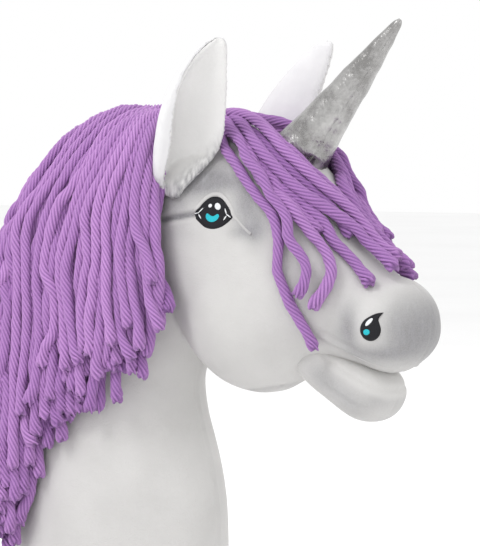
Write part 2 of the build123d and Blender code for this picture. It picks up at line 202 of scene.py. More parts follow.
def resample(points, step):
    """Even points along a polyline."""
    points = np.array(points, float)
    gaps = np.linalg.norm(np.diff(points, axis=0), axis=1)
    run = np.concatenate([[0], np.cumsum(gaps)])
    count = max(4, int(round(run[-1] / step)) + 1)
    at = np.linspace(0, run[-1], count)
    return np.stack([np.interp(at, run, points[:, k]) for k in range(3)], 1)


def line_distance(p, line):
    """Distance from a 2-D point to a polyline, and how far along it the nearest place is (0 to 1)."""
    best = (1e9, 0.0)
    count = len(line) - 1
    for i in range(count):
        ax, az = line[i]
        bx, bz = line[i + 1]
        dx, dz = bx - ax, bz - az
        t = ((p[0] - ax) * dx + (p[1] - az) * dz) / (dx * dx + dz * dz)
        t = min(1.0, max(0.0, t))
        d = math.hypot(p[0] - ax - t * dx, p[1] - az - t * dz)
        if d < best[0]:
            best = (d, (i + t) / count)
    return best


# ======== forms
NECK = [  # back point, front point (x, z), half width
    ((-76, 0), (76, 0), 54),
    ((-84, 14), (84, 14), 60),
    ((-84, 62), (85, 60), 59),
    ((-79, 105), (79, 96), 56),
    ((-70, 150), (70, 128), 51),
    ((-66, 200), (67, 147), 49),
    ((-57, 255), (69, 160), 48),
    ((-28, 305), (73, 170), 48),
    ((20, 329), (80, 180), 47),
    ((62, 336), (92, 186), 47),
]
SKULL = [
    ((40, 326), (62, 196), 38),
    ((62, 335), (76, 174), 48),
    ((88, 337), (93, 156), 52),
    ((118, 334), (116, 148.5), 55),
    ((148, 324), (139, 150), 54),
    ((172, 304), (156, 158), 50),
    ((192, 276), (172, 168), 44),
    ((212, 247), (190, 171), 39),
    ((228, 233), (210, 169), 36.5),
    ((241, 226), (225, 166), 36.5),
    ((253, 213), (238, 168), 32),
    ((258, 201), (248, 175), 21),
]


def loft_object(sections, name, grow=0.0, around=72, steps=8):
    """A closed smooth tube through elliptical sections."""
    rows = [(*back, *front, half) for back, front, half in sections]
    dense = catmull(rows, (len(rows) - 1) * steps + 1)
    verts = []
    for bx, bz, fx, fz, half in dense:
        mid = Vector(((bx + fx) / 2, 0, (bz + fz) / 2))
        along = Vector((fx - bx, 0, fz - bz))
        reach = along.length / 2 + grow
        along.normalize()
        for k in range(around):
            a = 2 * math.pi * k / around
            verts.append(mid + along * (reach * math.cos(a)) + Vector((0, (half + grow) * math.sin(a), 0)))
    return add_mesh(name, verts, ring_faces(len(dense), around))


def ball_object(name, centre, radii, tilt_deg=0.0):
    bm = bmesh.new()
    bmesh.ops.create_uvsphere(bm, u_segments=40, v_segments=24, radius=1.0)
    turn = Matrix.Rotation(math.radians(tilt_deg), 4, "Y")
    for v in bm.verts:
        v.co = (
            turn @ Vector((v.co.x * radii[0], v.co.y * radii[1], v.co.z * radii[2])) + Vector(centre)
        ) * MM
    mesh = bpy.data.meshes.new(name)
    bm.to_mesh(mesh)
    bm.free()
    return new_object(name, mesh)


# -------- places, in mm, drawn on the side of the head as (x, z)
EYE = Vector((114, 0, 275))
NOSTRIL = Vector((232.5, 0, 198))
MOUTH_CORNER = Vector((192, 0, 188))
LIP_SLOPE = math.radians(30.2)
LIP_ALONG = Vector((math.cos(LIP_SLOPE), 0, -math.sin(LIP_SLOPE)))
LIP_UP = Vector((math.sin(LIP_SLOPE), 0, math.cos(LIP_SLOPE)))
LIP_RISE = 0.085  # how the upper lip curls up towards the front
JAW_PIVOT = MOUTH_CORNER - LIP_ALONG * 21 - LIP_UP * 21.5


def lip_space(x, z):
    """Place along and above the lip line, measured from the corner of the mouth."""
    d = Vector((x, 0, z)) - MOUTH_CORNER
    return d.dot(LIP_ALONG), d.dot(LIP_UP)


# ======== skin of neck and head
BEYOND = 120  # how far the wedge of the mouth reaches, past all cloth
HEAD_VOXEL, SKIN_VOXEL, JAW_VOXEL, EAR_VOXEL = 2.6, 1.9, 1.6, 1.25


def mouth_cutter():
    """The wedge in front of the cheek and below the upper lip."""
    corner = MOUTH_CORNER + LIP_UP * 0.5 - LIP_ALONG * 1.0
    front = MOUTH_CORNER + LIP_ALONG * BEYOND + LIP_UP * (0.5 + BEYOND * LIP_RISE)
    under = MOUTH_CORNER + LIP_ALONG * BEYOND - LIP_UP * BEYOND
    notch = Vector((163, 0, 158))
    below = notch + (notch - corner).normalized() * 70
    outline = [corner, front, under, below]
    verts = [(p.x, y, p.z) for y in (-90, 90) for p in outline]
    faces = [(0, 1, 2, 3), (7, 6, 5, 4), (0, 4, 5, 1), (1, 5, 6, 2), (2, 6, 7, 3), (3, 7, 4, 0)]
    return add_mesh("mouth_cutter", verts, faces, shade=False)


def make_skin():
    parts = [
        loft_object(SKULL, "skull"),
        ball_object("cheek", (122, 0, 209), (57, 57.5, 59)),
        ball_object("nose", (227, 0, 199), (33, 36.5, 33.5), 15),
        ball_object("brow_right", (128, -33, 274), (34, 20, 26)),
        ball_object("brow_left", (128, 33, 274), (34, 20, 26)),
    ]
    head = remesh(join(parts, "head"), HEAD_VOXEL, rounds=6)
    cutter = mouth_cutter()
    cut = head.modifiers.new("mouth", "BOOLEAN")
    cut.object = cutter
    cut.operation = "DIFFERENCE"
    apply_modifiers(head)
    bpy.data.objects.remove(cutter)
    whole = join([head, loft_object(NECK, "neck")], "skin")
    return remesh(whole, SKIN_VOXEL, rounds=6)


LIP_SEAM = [(193, 190.5), (201, 185.5), (211, 181), (222, 176.5), (233, 172.5), (244, 169.5), (252, 169)]
EYE_CREASE = [(97, 274), (89, 272.3), (80, 271), (68, 269)]
BROW_FOLD = [(130.5, 274), (137, 269), (147, 260)]
JOWL_SEAM = [(118, 149.5), (131, 151), (147, 154), (160, 158), (170, 163)]


def skin_detail(p, n):
    """How far one place of the cloth stands out, in mm."""
    side = abs(n.y)
    xz = (p.x, p.z)
    out = 0.55 * noise.noise(p * 0.021) + 0.25 * noise.noise(p * 0.055 + Vector((7, 1, 3)))
    if p.x > 55 and side > 0.25:
        lip = line_distance(xz, LIP_SEAM)[0]
        out += 0.9 * bump(lip, 1.7) - 0.7 * bump(lip - 3.4, 1.8)
        crease = line_distance(xz, EYE_CREASE)[0]
        out -= 2.4 * bump(crease, 1.9) * smooth(0.25, 0.6, side)
        out += 0.8 * bump(crease - 4.0, 2.4) * smooth(0.25, 0.6, side)
        out += 1.6 * bump(line_distance(xz, BROW_FOLD)[0], 2.0)
        out -= 0.9 * bump(line_distance(xz, JOWL_SEAM)[0], 1.6)
        eye = math.hypot((p.x - EYE.x) / 1.45, p.z - EYE.z)
        out -= 2.2 * bump(eye, 13.0)
        hollow = math.hypot((p.x - 137) / 1.5, p.z - 279)
        out -= 1.6 * bump(hollow, 11.0)
        nostril = math.hypot(p.x - NOSTRIL.x, p.z - NOSTRIL.z)
        out += 2.0 * bump(nostril, 13.0)
        behind = math.hypot((p.x - 209), (p.z - 197) / 1.2)
        out -= 1.4 * bump(behind, 11.0)
    seam = bump(p.y, 1.1)
    out -= 0.9 * seam
    out += 0.35 * bump(abs(p.y) - 2.6, 1.6)
    if p.z < 14:
        out -= 0.8 * bump(p.z - 4, 1.6)
    return out


SPRAY = [  # place (x, y, z), spread in x and z, strength, spread in y
    (262, 0, 205, 20, 27, 0.78, 1e9),
    (252, 14, 186, 16, 16, 0.42, 30),
    (214, 35, 199, 8.5, 18, 0.78, 30),
    (231, 34, 180, 20, 7, 0.72, 30),
    (246, 30, 203, 6, 14, 0.18, 26),
    (204, 36, 191, 11, 9, 0.25, 30),
    (118, 48, 297, 28, 9, 0.72, 24),
    (140, 46, 281, 11, 15, 0.85, 24),
    (150, 46, 264, 9, 12, 0.70, 24),
    (138, 50, 262, 11, 5, 0.45, 22),
    (80, 47, 278, 16, 8, 0.60, 25),
    (84, 49, 261, 19, 8, 0.32, 25),
    (88, 46, 293, 26, 10, 0.75, 22),
    (108, 34, 308, 15, 14, 0.50, 18),
    (66, 46, 296, 9, 26, 0.35, 25),
    (176, 42, 232, 12, 26, 0.14, 25),
]


def airbrush_and_seam_shade(p, n):
    """Share of grey at a place on the head or neck, 0 to 1: airbrushed grey paint, plus painted shade along
    the crease behind the eye and along the jowl seam.
    """
    y = abs(p.y)
    grey = 0.0
    if p.x > 50 and p.z > 120:
        for x, at_y, z, wide, tall, strength, deep in SPRAY:
            d = math.sqrt(((p.x - x) / wide) ** 2 + ((p.z - z) / tall) ** 2 + ((y - at_y) / deep) ** 2)
            grey += strength * math.exp(-d * d)
        # painted shade: grey along the crease behind the eye and along the jowl seam, where the folds hold
        # shade
        grey += 0.95 * bump(line_distance((p.x, p.z), EYE_CREASE)[0], 1.7) * smooth(30, 40, y)
        grey += 0.3 * bump(line_distance((p.x, p.z), JOWL_SEAM)[0], 1.2)
    if n.y * (1 if p.y > 0 else -1) < 0.05 and p.x > 80 and p.z < 160:
        grey *= 0.4
    return min(1.0, grey)


def to_mm(obj):
    return [v.co / MM for v in obj.data.vertices]


def sculpt(obj, detail, paint=None):
    """Moves each point along its normal, and stores the grey that paint gives each place: airbrushed grey,
    and on the skin also painted shade along its creases.
    """
    mesh = obj.data
    normals = [Vector(n.vector) for n in mesh.vertex_normals]
    places = to_mm(obj)
    moved = [p + n * detail(p, n) for p, n in zip(places, normals)]
    mesh.vertices.foreach_set("co", np.array([c for p in moved for c in p], np.float32) * MM)
    if paint:
        layer = mesh.attributes.new("grey", "FLOAT", "POINT")
        layer.data.foreach_set("value", np.array([paint(p, n) for p, n in zip(places, normals)], np.float32))
    mesh.update()
    return obj


skin = make_skin()
skin.name = "plush_skin"
sculpt(skin, skin_detail, airbrush_and_seam_shade)
TREE = BVHTree.FromPolygons(to_mm(skin), [tuple(f.vertices) for f in skin.data.polygons])


def on_side(x, z, side):
    """The cloth's point and outward normal at (x, z) on one side, in mm."""
    place, normal, _, _ = TREE.ray_cast(Vector((x, side * 200, z)), Vector((0, -side, 0)))
    if place is None:
        place, normal, _, _ = TREE.find_nearest(Vector((x, side * 40, z)))
    return place, normal


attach(skin, ROOT)
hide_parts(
    "neck_skin_right", "neck_skin_left", "head_skin_right", "head_skin_left", "neck_stuffing",
    "head_stuffing"
)
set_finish(skin, "plush")


# ======== jaw
JAW_ROWS = [  # along the lip line from the jaw's pivot, half height, half width
    (-17, 3, 6),
    (-13, 9, 12.5),
    (-6, 14.5, 17.5),
    (4, 18.0, 21.5),
    (18, 20.0, 25.6),
    (34, 20.6, 28.5),
    (50, 21.2, 28.5),
    (62, 19.8, 26.5),
    (71, 14.6, 20.5),
    (76, 7, 11),
]


def make_jaw():
    verts = []
    around = 64
    rows = catmull(JAW_ROWS, 60)
    for s, half_height, half_width in rows:
        centre = JAW_PIVOT + LIP_ALONG * s
        for k in range(around):
            a = 2 * math.pi * k / around
            c, q = math.cos(a), math.sin(a)
            # a squarish round, flatter where the two lips meet
            up = half_height * math.copysign(abs(c) ** 0.8, c)
            if up < 0:
                up *= 0.95
            if up > 0:
                up = min(up, 19.2 + LIP_RISE * 0.9 * max(0.0, s - 18) - 0.4 * half_width * q * q)
            verts.append(centre + LIP_UP * up + Vector((0, half_width * math.copysign(abs(q) ** 0.85, q), 0)))
    return remesh(add_mesh("lower_jaw", verts, ring_faces(len(rows), around)), JAW_VOXEL, rounds=6)


def jaw_detail(p, n):
    along, up = lip_space(p.x, p.z)
    out = 0.4 * noise.noise(p * 0.05) - 0.8 * bump(p.y, 1.1) * (1 if up < -8 else 0)
    side = abs(n.y)
    if side > 0.2:
        seam = up + 24 - 0.05 * (along - 30)
        beside = up + 27 - 0.05 * (along - 30)
        out += 0.8 * bump(seam, 1.3) * smooth(8, 18, along) * (1 - smooth(44, 54, along))
        out -= 0.5 * bump(beside, 1.6) * smooth(8, 18, along) * (1 - smooth(44, 54, along))
    lip_edge = up + 11.5 - 0.05 * along
    out -= 0.75 * bump(lip_edge, 1.3) * smooth(-6, 4, along)
    return out


def jaw_paint(p, n):
    along, up = lip_space(p.x, p.z)
    below_lip = smooth(-11.5, -17, up)
    side = smooth(10, 24, abs(p.y))
    grey = 0.62 * math.exp(-(((along - 10) / 19) ** 2 + ((up + 24) / 10) ** 2)) * below_lip * side
    grey += 0.45 * math.exp(-(((along - 38) / 14) ** 2 + ((up + 26) / 11) ** 2)) * below_lip
    grey += 0.30 * math.exp(-(((along - 52) / 8) ** 2 + ((up + 16) / 7) ** 2)) * below_lip
    return min(1.0, grey)


jaw = make_jaw()
sculpt(jaw, jaw_detail, jaw_paint)
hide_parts("jaw_skin", "jaw_stuffing", "jaw_lining")
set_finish(jaw, "plush")
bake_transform(jaw)


# ======== roof of the mouth
def make_palate():
    """A smooth cloth plate that closes the mouth behind the upper lip."""
    verts = []
    rows, cols = 26, 25
    for i in range(rows):
        along = -6 + i * 2.15
        reach = 26 * math.sqrt(max(0.02, 1 - max(0.0, (along - 16) / 31) ** 2))
        for j in range(cols):
            t = j / (cols - 1) * 2 - 1
            up = 1.0 + LIP_RISE * max(0.0, along) - 1.2 * (1 - t * t)
            verts.append(MOUTH_CORNER + LIP_ALONG * along + LIP_UP * up + Vector((0, reach * t, 0)))
    obj = add_mesh("mouth_roof", verts, grid_faces(rows, cols))
    thick = obj.modifiers.new("thick", "SOLIDIFY")
    thick.thickness = 1.6 * MM
    thick.offset = 0
    return apply_modifiers(obj)


palate = make_palate()
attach(palate, ROOT)
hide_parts("palate_lining")
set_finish(palate, "lining")


# ======== ears
EAR_FOOT_POINT = Vector((84, -38, 300))
EAR_RISE = Vector((46, -28, 94)) / 94
EAR_ACROSS = Vector((0.92, 0.39, 0)).normalized()
EAR_OPEN = Vector((0.39, -0.92, 0)).normalized()
EAR_ROWS = [  # height, rear edge, front edge, how deep the cup is, how far the rear edge rolls over
    (-15, -5.5, -3.0, 0.15, 0.3),
    (-13.2, -9.0, -0.5, 0.35, 0.5),
    (-9.5, -13.2, 1.5, 0.6, 0.75),
    (-5, -16.8, 4.5, 0.8, 0.9),
    (0, -19.3, 8.8, 0.95, 1.0),
    (7, -21.3, 14.5, 1.0, 1.0),
    (16, -23.2, 19.5, 1.0, 1.0),
    (28, -24.8, 20.6, 1.0, 0.95),
    (43, -25.6, 18.4, 0.95, 0.85),
    (57, -24.2, 15.4, 0.85, 0.68),
    (69, -20.6, 12.6, 0.7, 0.5),
    (80, -15.5, 9.8, 0.5, 0.32),
    (89, -8.8, 6.6, 0.3, 0.15),
    (95, -2.2, 2.2, 0.15, 0.0),
]
TOWARDS_FRONT_SIDE = Vector((0.545, -0.839, 0))
EAR_FLAT = [
    (1.0, 6.0), (0.72, 2.0), (0.3, -2.5), (-0.15, -4.0), (-0.5, -3.2), (-0.78, 0.5), (-0.94, 5.0),
    (-1.0, 9.0), (-1.0, 12.0)
]
EAR_ROLLED = [
    (1.0, 6.0), (0.72, 2.0), (0.3, -2.5), (-0.15, -4.0), (-0.52, -3.6), (-0.86, 0.5), (-1.0, 8.0),
    (-0.86, 15.0), (-0.50, 17.5)
]


def ear_surface(side):
    """A grid of places and outward normals on the middle of the ear's cloth, drawn as a right ear."""
    rows = catmull(EAR_ROWS, 64)
    grid = []
    for z, rear, front, cup, roll in rows:
        centre = EAR_FOOT_POINT + EAR_RISE * z
        twist = Matrix.Identity(3)
        if side > 0:
            twist = Matrix.Rotation(math.radians(-22) * smooth(-10, 40, z), 3, "Z")
            centre = centre + Vector((7, 2, 0)) * smooth(-20, 40, z)
        shape = [
            (
                a[0] * (1 - roll) + b[0] * roll, a[1] * (1 - roll) + b[1] * roll
            ) for a, b in zip(EAR_FLAT, EAR_ROLLED)
        ]
        line = []
        for x, d in catmull(shape, 44):
            across = (front + rear) / 2 + x * (front - rear) / 2
            ripple = 0.5 * noise.noise(Vector((across * 0.08, z * 0.035, 4)))
            place = centre + twist @ (EAR_ACROSS * across + EAR_OPEN * (d * cup + ripple))
            if z < 22:
                spot, out, _, _ = TREE.find_nearest(place)
                gap = (place - spot).dot(out)
                need = 1.5 + 2.2 * smooth(-15, -6, z)
                if gap < need:
                    reach = (need - gap) / max(0.45, out.dot(TOWARDS_FRONT_SIDE))
                    place += TOWARDS_FRONT_SIDE * (reach * smooth(22, 10, z))
            line.append(place)
        grid.append(line)
    normals = []
    for i, line in enumerate(grid):
        out = []
        for j, p in enumerate(line):
            up = grid[min(i + 1, len(grid) - 1)][j] - grid[max(i - 1, 0)][j]
            over = line[min(j + 1, len(line) - 1)] - line[max(j - 1, 0)]
            out.append(over.cross(up).normalized())
        normals.append(out)
    return grid, normals


def ear_layer(name, low, high, inset, side):
    """One cloth layer of the ear between two offsets from its middle."""
    grid, normals = ear_surface(side)
    rows, cols = len(grid), len(grid[0])
    verts = []
    for offset in (low, high):
        for i in range(rows):
            for j in range(cols):
                t = j / (cols - 1) * 2 - 1
                rim = max(abs(t), smooth(0.8, 1.0, i / (rows - 1)))
                plump = 1 - 0.55 * smooth(0.8, 1.0, rim)
                p = grid[i][j] + normals[i][j] * offset * plump
                if inset:
                    p += (grid[i][cols // 2] - p) * (0.05 * smooth(0.75, 1.0, abs(t)))
                verts.append(p)
    size = rows * cols
    faces = []
    for i in range(rows - 1):
        for j in range(cols - 1):
            a = i * cols + j
            faces.append((a, a + 1, a + cols + 1, a + cols))
            faces.append((size + a, size + a + cols, size + a + cols + 1, size + a + 1))
    rim = list(range(cols)) + [i * cols + cols - 1 for i in range(1, rows)]
    rim += [
        (rows - 1) * cols + j
        for j in range(cols - 2, -1, -1)
    ] + [i * cols for i in range(rows - 2, 0, -1)]
    for k, a in enumerate(rim):
        b = rim[(k + 1) % len(rim)]
        faces.append((a, size + a, size + b, b))
    if side > 0:
        verts = [Vector((v.x, -v.y, v.z)) for v in verts]
        faces = [f[::-1] for f in faces]
    return remesh(add_mesh(name, verts, faces), EAR_VOXEL, rounds=4)


def ear_paint(p, n):
    """Streaky grey along the ear's foot, which slopes up to the front and the rear."""
    foot = p.z - 285 - 0.86 * abs(p.x - 79)
    streak = 0.72 + 1.1 * noise.noise(Vector((p.x * 0.55, p.y * 0.55, p.z * 0.10)))
    return min(1.0, 0.95 * smooth(17, -4, foot) * max(0.15, streak))


for side_name, side in SIDES:
    outer = ear_layer(f"ear_cloth_{side_name}", -2.9, 0.2, False, side)
    lining = ear_layer(f"ear_inside_{side_name}", 0.3, 2.7, True, side)
    for piece, node, slot in ((outer, "ear_outer", "plush"), (lining, "ear_lining", "lining")):
        sculpt(piece, lambda p, n: 0.25 * noise.noise(p * 0.09), ear_paint)
        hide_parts(f"{node}_{side_name}")
        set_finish(piece, slot)
        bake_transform(piece)


# ======== horn
HORN_FOOT = Vector((154, 0, 315.5))
HORN_UP = Vector((math.sin(math.radians(41)), 0, math.cos(math.radians(41))))
HORN_SIDE = Vector((0, 1, 0))
HORN_FRONT = HORN_SIDE.cross(HORN_UP)
HORN_PROFILE = [
    (-13, 20.5), (-5, 20.6), (4, 20.2), (16, 18.2), (32, 15.7), (50, 13.2), (68, 11.0), (86, 8.4), (101, 6.1),
    (112, 4.2), (118, 2.9), (121.4, 0.9)
]
HORN_SEAM = math.radians(-38)


def make_horn():
    rows = catmull(HORN_PROFILE, 190)
    around = 150
    verts = []
    for h, radius in rows:
        for k in range(around):
            a = 2 * math.pi * k / around
            off = math.atan2(math.sin(a - HORN_SEAM), math.cos(a - HORN_SEAM))
            arc = off * radius
            r = radius - 0.6 * bump(arc, 0.9) + 0.3 * bump(abs(arc) - 2.4, 1.3)
            near = bump(arc, 9)
            q = Vector((math.cos(a) * 1.6, math.sin(a) * 1.6, h * 0.10))
            r += (0.35 + 0.5 * near) * noise.noise(
                q + Vector((0, 0, 0.25 * abs(off)))
            ) * smooth(1.5, 8, radius)
            wrinkle = noise.noise(
                Vector((a * 1.2, h * 0.045, 9))
            ) + 0.6 * noise.noise(Vector((a * 2.4, h * 0.12, 2)))
            r += 0.42 * wrinkle * smooth(1.5, 9, radius)
            r += 0.26 * near * math.sin(
                h * 0.62 + 2.2 * noise.noise(Vector((h * 0.05, 0, 0)))
            ) * smooth(3, 9, radius)
            verts.append(
                HORN_FOOT + HORN_UP * h + (HORN_FRONT * math.cos(a) + HORN_SIDE * math.sin(a)) * max(0.2, r)
            )
    return add_mesh("horn_lame", verts, ring_faces(len(rows), around))


horn = make_horn()
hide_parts("horn_cover", "horn_stuffing")
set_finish(horn, "lame")
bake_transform(horn)


# ======== stitched eyes and nostrils
def closed_outline(upper, lower, count=30):
    return [tuple(p) for half in (upper, lower) for p in catmull(half, count)[:-1]]


def patch(name, outline, centre, middle, height, lift, side, rings=9):
    """A padded satin-stitch shape that follows the cloth; the outline is round its own middle point."""
    verts = []
    count = len(outline)

    def place(x, z, rise):
        point, normal = on_side(centre.x + x, centre.z + z, side)
        return point + normal * rise

    for i in range(rings):
        f = 1 - i / rings
        rise = lift + height * math.sqrt(1 - f**5)
        for x, z in outline:
            verts.append(place(middle[0] + (x - middle[0]) * f, middle[1] + (z - middle[1]) * f, rise))
    verts.append(place(middle[0], middle[1], lift + height))
    for x, z in outline:
        verts.append(place(x, z, lift - 0.7))
    faces = ring_faces(rings, count, capped=False)
    tip = rings * count
    skirt = tip + 1
    for k in range(count):
        n = (k + 1) % count
        faces.append(((rings - 1) * count + k, (rings - 1) * count + n, tip))
        faces.append((skirt + k, skirt + n, n, k))
    return mend_normals(add_mesh(name, verts, faces))


def oval(x, z, width, height, turn_deg=0.0, count=28):
    t = math.radians(turn_deg)
    out = []
    for k in range(count):
        a = 2 * math.pi * k / count
        u, v = width / 2 * math.cos(a), height / 2 * math.sin(a)
        out.append((x + u * math.cos(t) - v * math.sin(t), z + u * math.sin(t) + v * math.cos(t)))
    return out


def stroke(a, b, width):
    """A short stitched line from a to b, as a thin oval outline and its middle."""
    length = math.hypot(b[0] - a[0], b[1] - a[1]) + width
    turn = math.degrees(math.atan2(b[1] - a[1], b[0] - a[0]))
    middle = ((a[0] + b[0]) / 2, (a[1] + b[1]) / 2)
    return oval(*middle, length, width, turn, 16), middle


EYE_LINE = closed_outline(
    [
        (-17.2, -1.2), (-13.4, 3.0), (-9.6, 7.4), (-4.8, 10.4), (0.6, 11.3), (6.0, 10.2), (10.4, 6.8),
        (13.8, 2.0), (17.4, -2.6)
    ],
    [(17.4, -2.6), (13.2, -6.2), (8.0, -9.6), (1.6, -11.2), (-5.6, -10.2), (-11.8, -6.4), (-17.2, -1.2)],
)
IRIS_LINE = closed_outline(
    [
        (-6.4, -2.2), (-5.6, -0.7), (-4.0, -1.0), (-2.2, -2.1), (0.0, -2.6), (2.0, -2.1), (3.8, -1.0),
        (5.2, -0.9), (6.0, -2.4)
    ],
    [(6.0, -2.4), (4.9, -4.6), (2.8, -6.2), (0.0, -6.9), (-3.2, -6.3), (-5.6, -4.4), (-6.4, -2.2)],
    20,
)
NOSTRIL_LINE = closed_outline(
    [(7.6, 11.2), (3.6, 10.6), (-0.4, 8.8), (-4.6, 6.0), (-7.4, 2.0), (-7.8, -2.6), (-5.4, -6.6)],
    [(-5.4, -6.6), (-1.6, -8.2), (2.8, -7.6), (6.4, -4.6), (7.6, -0.4), (6.6, 3.4), (5.4, 7.0), (7.6, 11.2)],
    24,
)
FRONT_STROKES = [
    ((10.4, 2.6), (11.8, -0.8), 1.0), ((11.8, -1.0), (15.6, -2.6), 0.9), ((11.8, -2.2), (9.7, -4.9), 1.0)
]
BACK_STROKES = [
    ((-8.9, 2.8), (-11.8, 0.0), 0.9), ((-11.8, -0.4), (-15.2, -1.2), 0.9), ((-11.7, -1.8), (-9.8, -4.2), 0.9)
]


def stitched(name, node, slot, shapes, centre, height, lift, side):
    """One node's stitched shapes, joined into one piece on the head."""
    objects = [patch(name, line, centre, middle, height, lift, side, rings) for line, middle, rings in shapes]
    obj = join(objects, name)
    obj.data.shade_smooth()
    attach(obj, ROOT)
    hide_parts(node)
    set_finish(obj, slot)


for side_name, side in SIDES:
    strokes_front = [(*stroke(*s), 3) for s in FRONT_STROKES]
    strokes_back = [(*stroke(*s), 3) for s in BACK_STROKES]
    for name, node, slot, shapes, centre, height, lift in (
        ("eye_black", "eye_patch", "stitch_black", [(EYE_LINE, (0, 0), 14)], EYE, 1.3, 0.0),
        ("eye_cyan", "eye_iris", "stitch_cyan", [(IRIS_LINE, (0, -3.9), 6)], EYE, 0.45, 1.15),
        (
            "eye_gleam_front", "eye_light_front", "stitch_white",
            [(oval(3.9, 4.2, 6.0, 4.8, -25), (3.9, 4.2), 5)], EYE, 0.45, 1.15
        ),
        (
            "eye_gleam_back", "eye_light_back", "stitch_white",
            [(oval(-2.9, 4.6, 3.6, 2.8, 15), (-2.9, 4.6), 4)], EYE, 0.4, 1.15
        ),
        ("eye_corner_stitch_front", "eye_corner_front", "stitch_white", strokes_front, EYE, 0.4, 1.1),
        ("eye_corner_stitch_back", "eye_corner_back", "stitch_white", strokes_back, EYE, 0.4, 1.1),
        (
            "nostril_black", "nostril_patch", "stitch_black", [(NOSTRIL_LINE, (-0.4, -1.0), 10)], NOSTRIL,
            1.3, 0.0
        ),
        (
            "nostril_gleam", "nostril_light", "stitch_white",
            [(oval(-0.4, 4.4, 6.6, 2.8, 48), (-0.4, 4.4), 4)], NOSTRIL, 0.4, 1.2
        ),
        (
            "nostril_cyan", "nostril_dot", "stitch_cyan", [(oval(-1.8, -2.0, 5.2, 4.0, 10), (-1.8, -2.0), 4)],
            NOSTRIL, 0.4, 1.2
        ),
    ):
        stitched(f"{name}_{side_name}", f"{node}_{side_name}", slot, shapes, centre, height, lift, side)


# -------- folds of cloth over the eyes
LID_LINE = [
    (95.2, 273.4), (100.4, 278.6), (104.6, 283.2), (109.4, 286.6), (115, 287.6), (120.8, 286.2),
    (125.4, 282.6), (129.2, 277.6), (132.6, 272.4), (138.6, 266.8), (147, 260.4)
]
for side_name, side in SIDES:
    line = catmull(LID_LINE, 60)
    verts = []
    profile = 13
    for i, (x, z) in enumerate(line):
        t = i / (len(line) - 1)
        nx, nz = line[min(i + 1, len(line) - 1)] - line[max(i - 1, 0)]
        size = math.hypot(nx, nz)
        over = (-nz / size, nx / size)
        width = 1.4 * smooth(-0.02, 0.12, t) * (1 - 0.45 * smooth(0.55, 1.0, t)) + 0.25
        height = 1.5 * smooth(-0.02, 0.12, t) * (1 - 0.68 * smooth(0.5, 0.85, t)) + 0.1
        for j in range(profile):
            a = math.pi * j / (profile - 1)
            offset = -math.cos(a) * width
            point, normal = on_side(x + over[0] * offset, z + over[1] * offset, side)
            verts.append(point + normal * (math.sin(a) ** 0.8 * height - 0.35))
    lid = add_mesh(f"lid_fold_{side_name}", verts, grid_faces(len(line), profile))
    mend_normals(lid, close=True)
    lid.data.shade_smooth()
    sculpt(lid, lambda p, n: 0.0, lambda p, n: 0.5 * airbrush_and_seam_shade(p, n))
    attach(lid, ROOT)
    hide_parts(f"eyelid_{side_name}")
    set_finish(lid, "plush")


# ======== tape along the crest
CREST = [
    (100, 334), (60, 336), (20, 328), (-15, 310), (-42, 285), (-58, 255), (-66, 220), (-68, 180), (-68, 140),
    (-74, 100)
]


def make_tape():
    """The folded woven tape that the mane is sewn to, standing on edge along the neck's top seam."""
    low, high = (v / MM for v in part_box("mane_tape"))
    half_width = (high.y - low.y) / 2
    section = [
        (-0.75, -0.3), (-0.95, 1.5), (-0.85, 3.2), (-0.95, 4.8), (-0.4, 5.6), (0.4, 5.6), (0.95, 4.8),
        (0.85, 3.2), (0.95, 1.5), (0.75, -0.3)
    ]
    verts = []
    crest = resample(catmull([(x, 0, z) for x, z in CREST], 300), 1.2)
    route = [Vector((x, 0, z)) for x, _, z in crest if x < high.x - 1 and z > low.z + 1]
    around = len(section)
    for i, place in enumerate(route):
        spot, out, _, _ = TREE.find_nearest(place)
        out = Vector((out.x, 0, out.z)).normalized()
        rib = 1 + 0.06 * math.sin(i * math.pi)
        for across, up in section:
            sway = 0.15 * math.sin(i * 0.35) * up / 5.6
            verts.append(Vector((spot.x, across * half_width * rib + sway * half_width, spot.z)) + out * up)
    return add_mesh("crest_tape", verts, ring_faces(len(route), around))


tape = make_tape()
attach(tape, ROOT)
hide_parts("mane_tape")
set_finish(tape, "tape")


# ======== cloth under the neck
def make_base_cloth():
    """The cloth under the neck, gathered at its sewn edge, with a turned hem round the stick's hole."""
    low, high = (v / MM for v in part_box("base_cover"))
    middle, half = (low + high) / 2, (high - low) / 2
    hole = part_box("stick_socket_tube")[1].x / MM + 0.4
    around, rings = 180, 26
    verts, faces = [], []
    for under in (True, False):
        for r in range(rings):
            t = r / (rings - 1)
            for k in range(around):
                a = 2 * math.pi * k / around
                edge = Vector((middle.x + half.x * 0.992 * math.cos(a), half.y * 0.992 * math.sin(a)))
                inner = Vector((hole * math.cos(a), hole * math.sin(a)))
                flat = inner.lerp(edge, t)
                gather = 0.28 * smooth(0.72, 1.0, t) * math.sin(a * 45)
                gather += 0.15 * noise.noise(Vector((flat.x * 0.06, flat.y * 0.06, 2)))
                hem = 0.35 * bump(t - 0.07, 0.035) - 0.3 * bump(t - 0.13, 0.015)
                seam = -0.3 * bump(t - 0.93, 0.012)
                middle_z = (low.z + high.z) / 2
                thick = half.z * (
                    0.62 + 0.25 * smooth(0, 0.02, t) - 0.35 * smooth(0.97, 1.0, t)
                ) + hem + seam + gather
                z = max(low.z + 0.05, middle_z - thick) if under else min(
                    high.z - 0.05, middle_z + thick * 0.8
                )
                verts.append(Vector((flat.x, flat.y, z)))
    size = around * rings
    for r in range(rings - 1):
        for k in range(around):
            n = (k + 1) % around
            a, b, c, d = r * around + k, r * around + n, (r + 1) * around + n, (r + 1) * around + k
            faces.append((a, b, c, d))
            faces.append((size + a, size + d, size + c, size + b))
    for r in (0, rings - 1):
        for k in range(around):
            a, b = r * around + k, r * around + (k + 1) % around
            faces.append((a, size + a, size + b, b) if r == 0 else (a, b, size + b, size + a))
    return add_mesh("base_cloth", verts, faces)


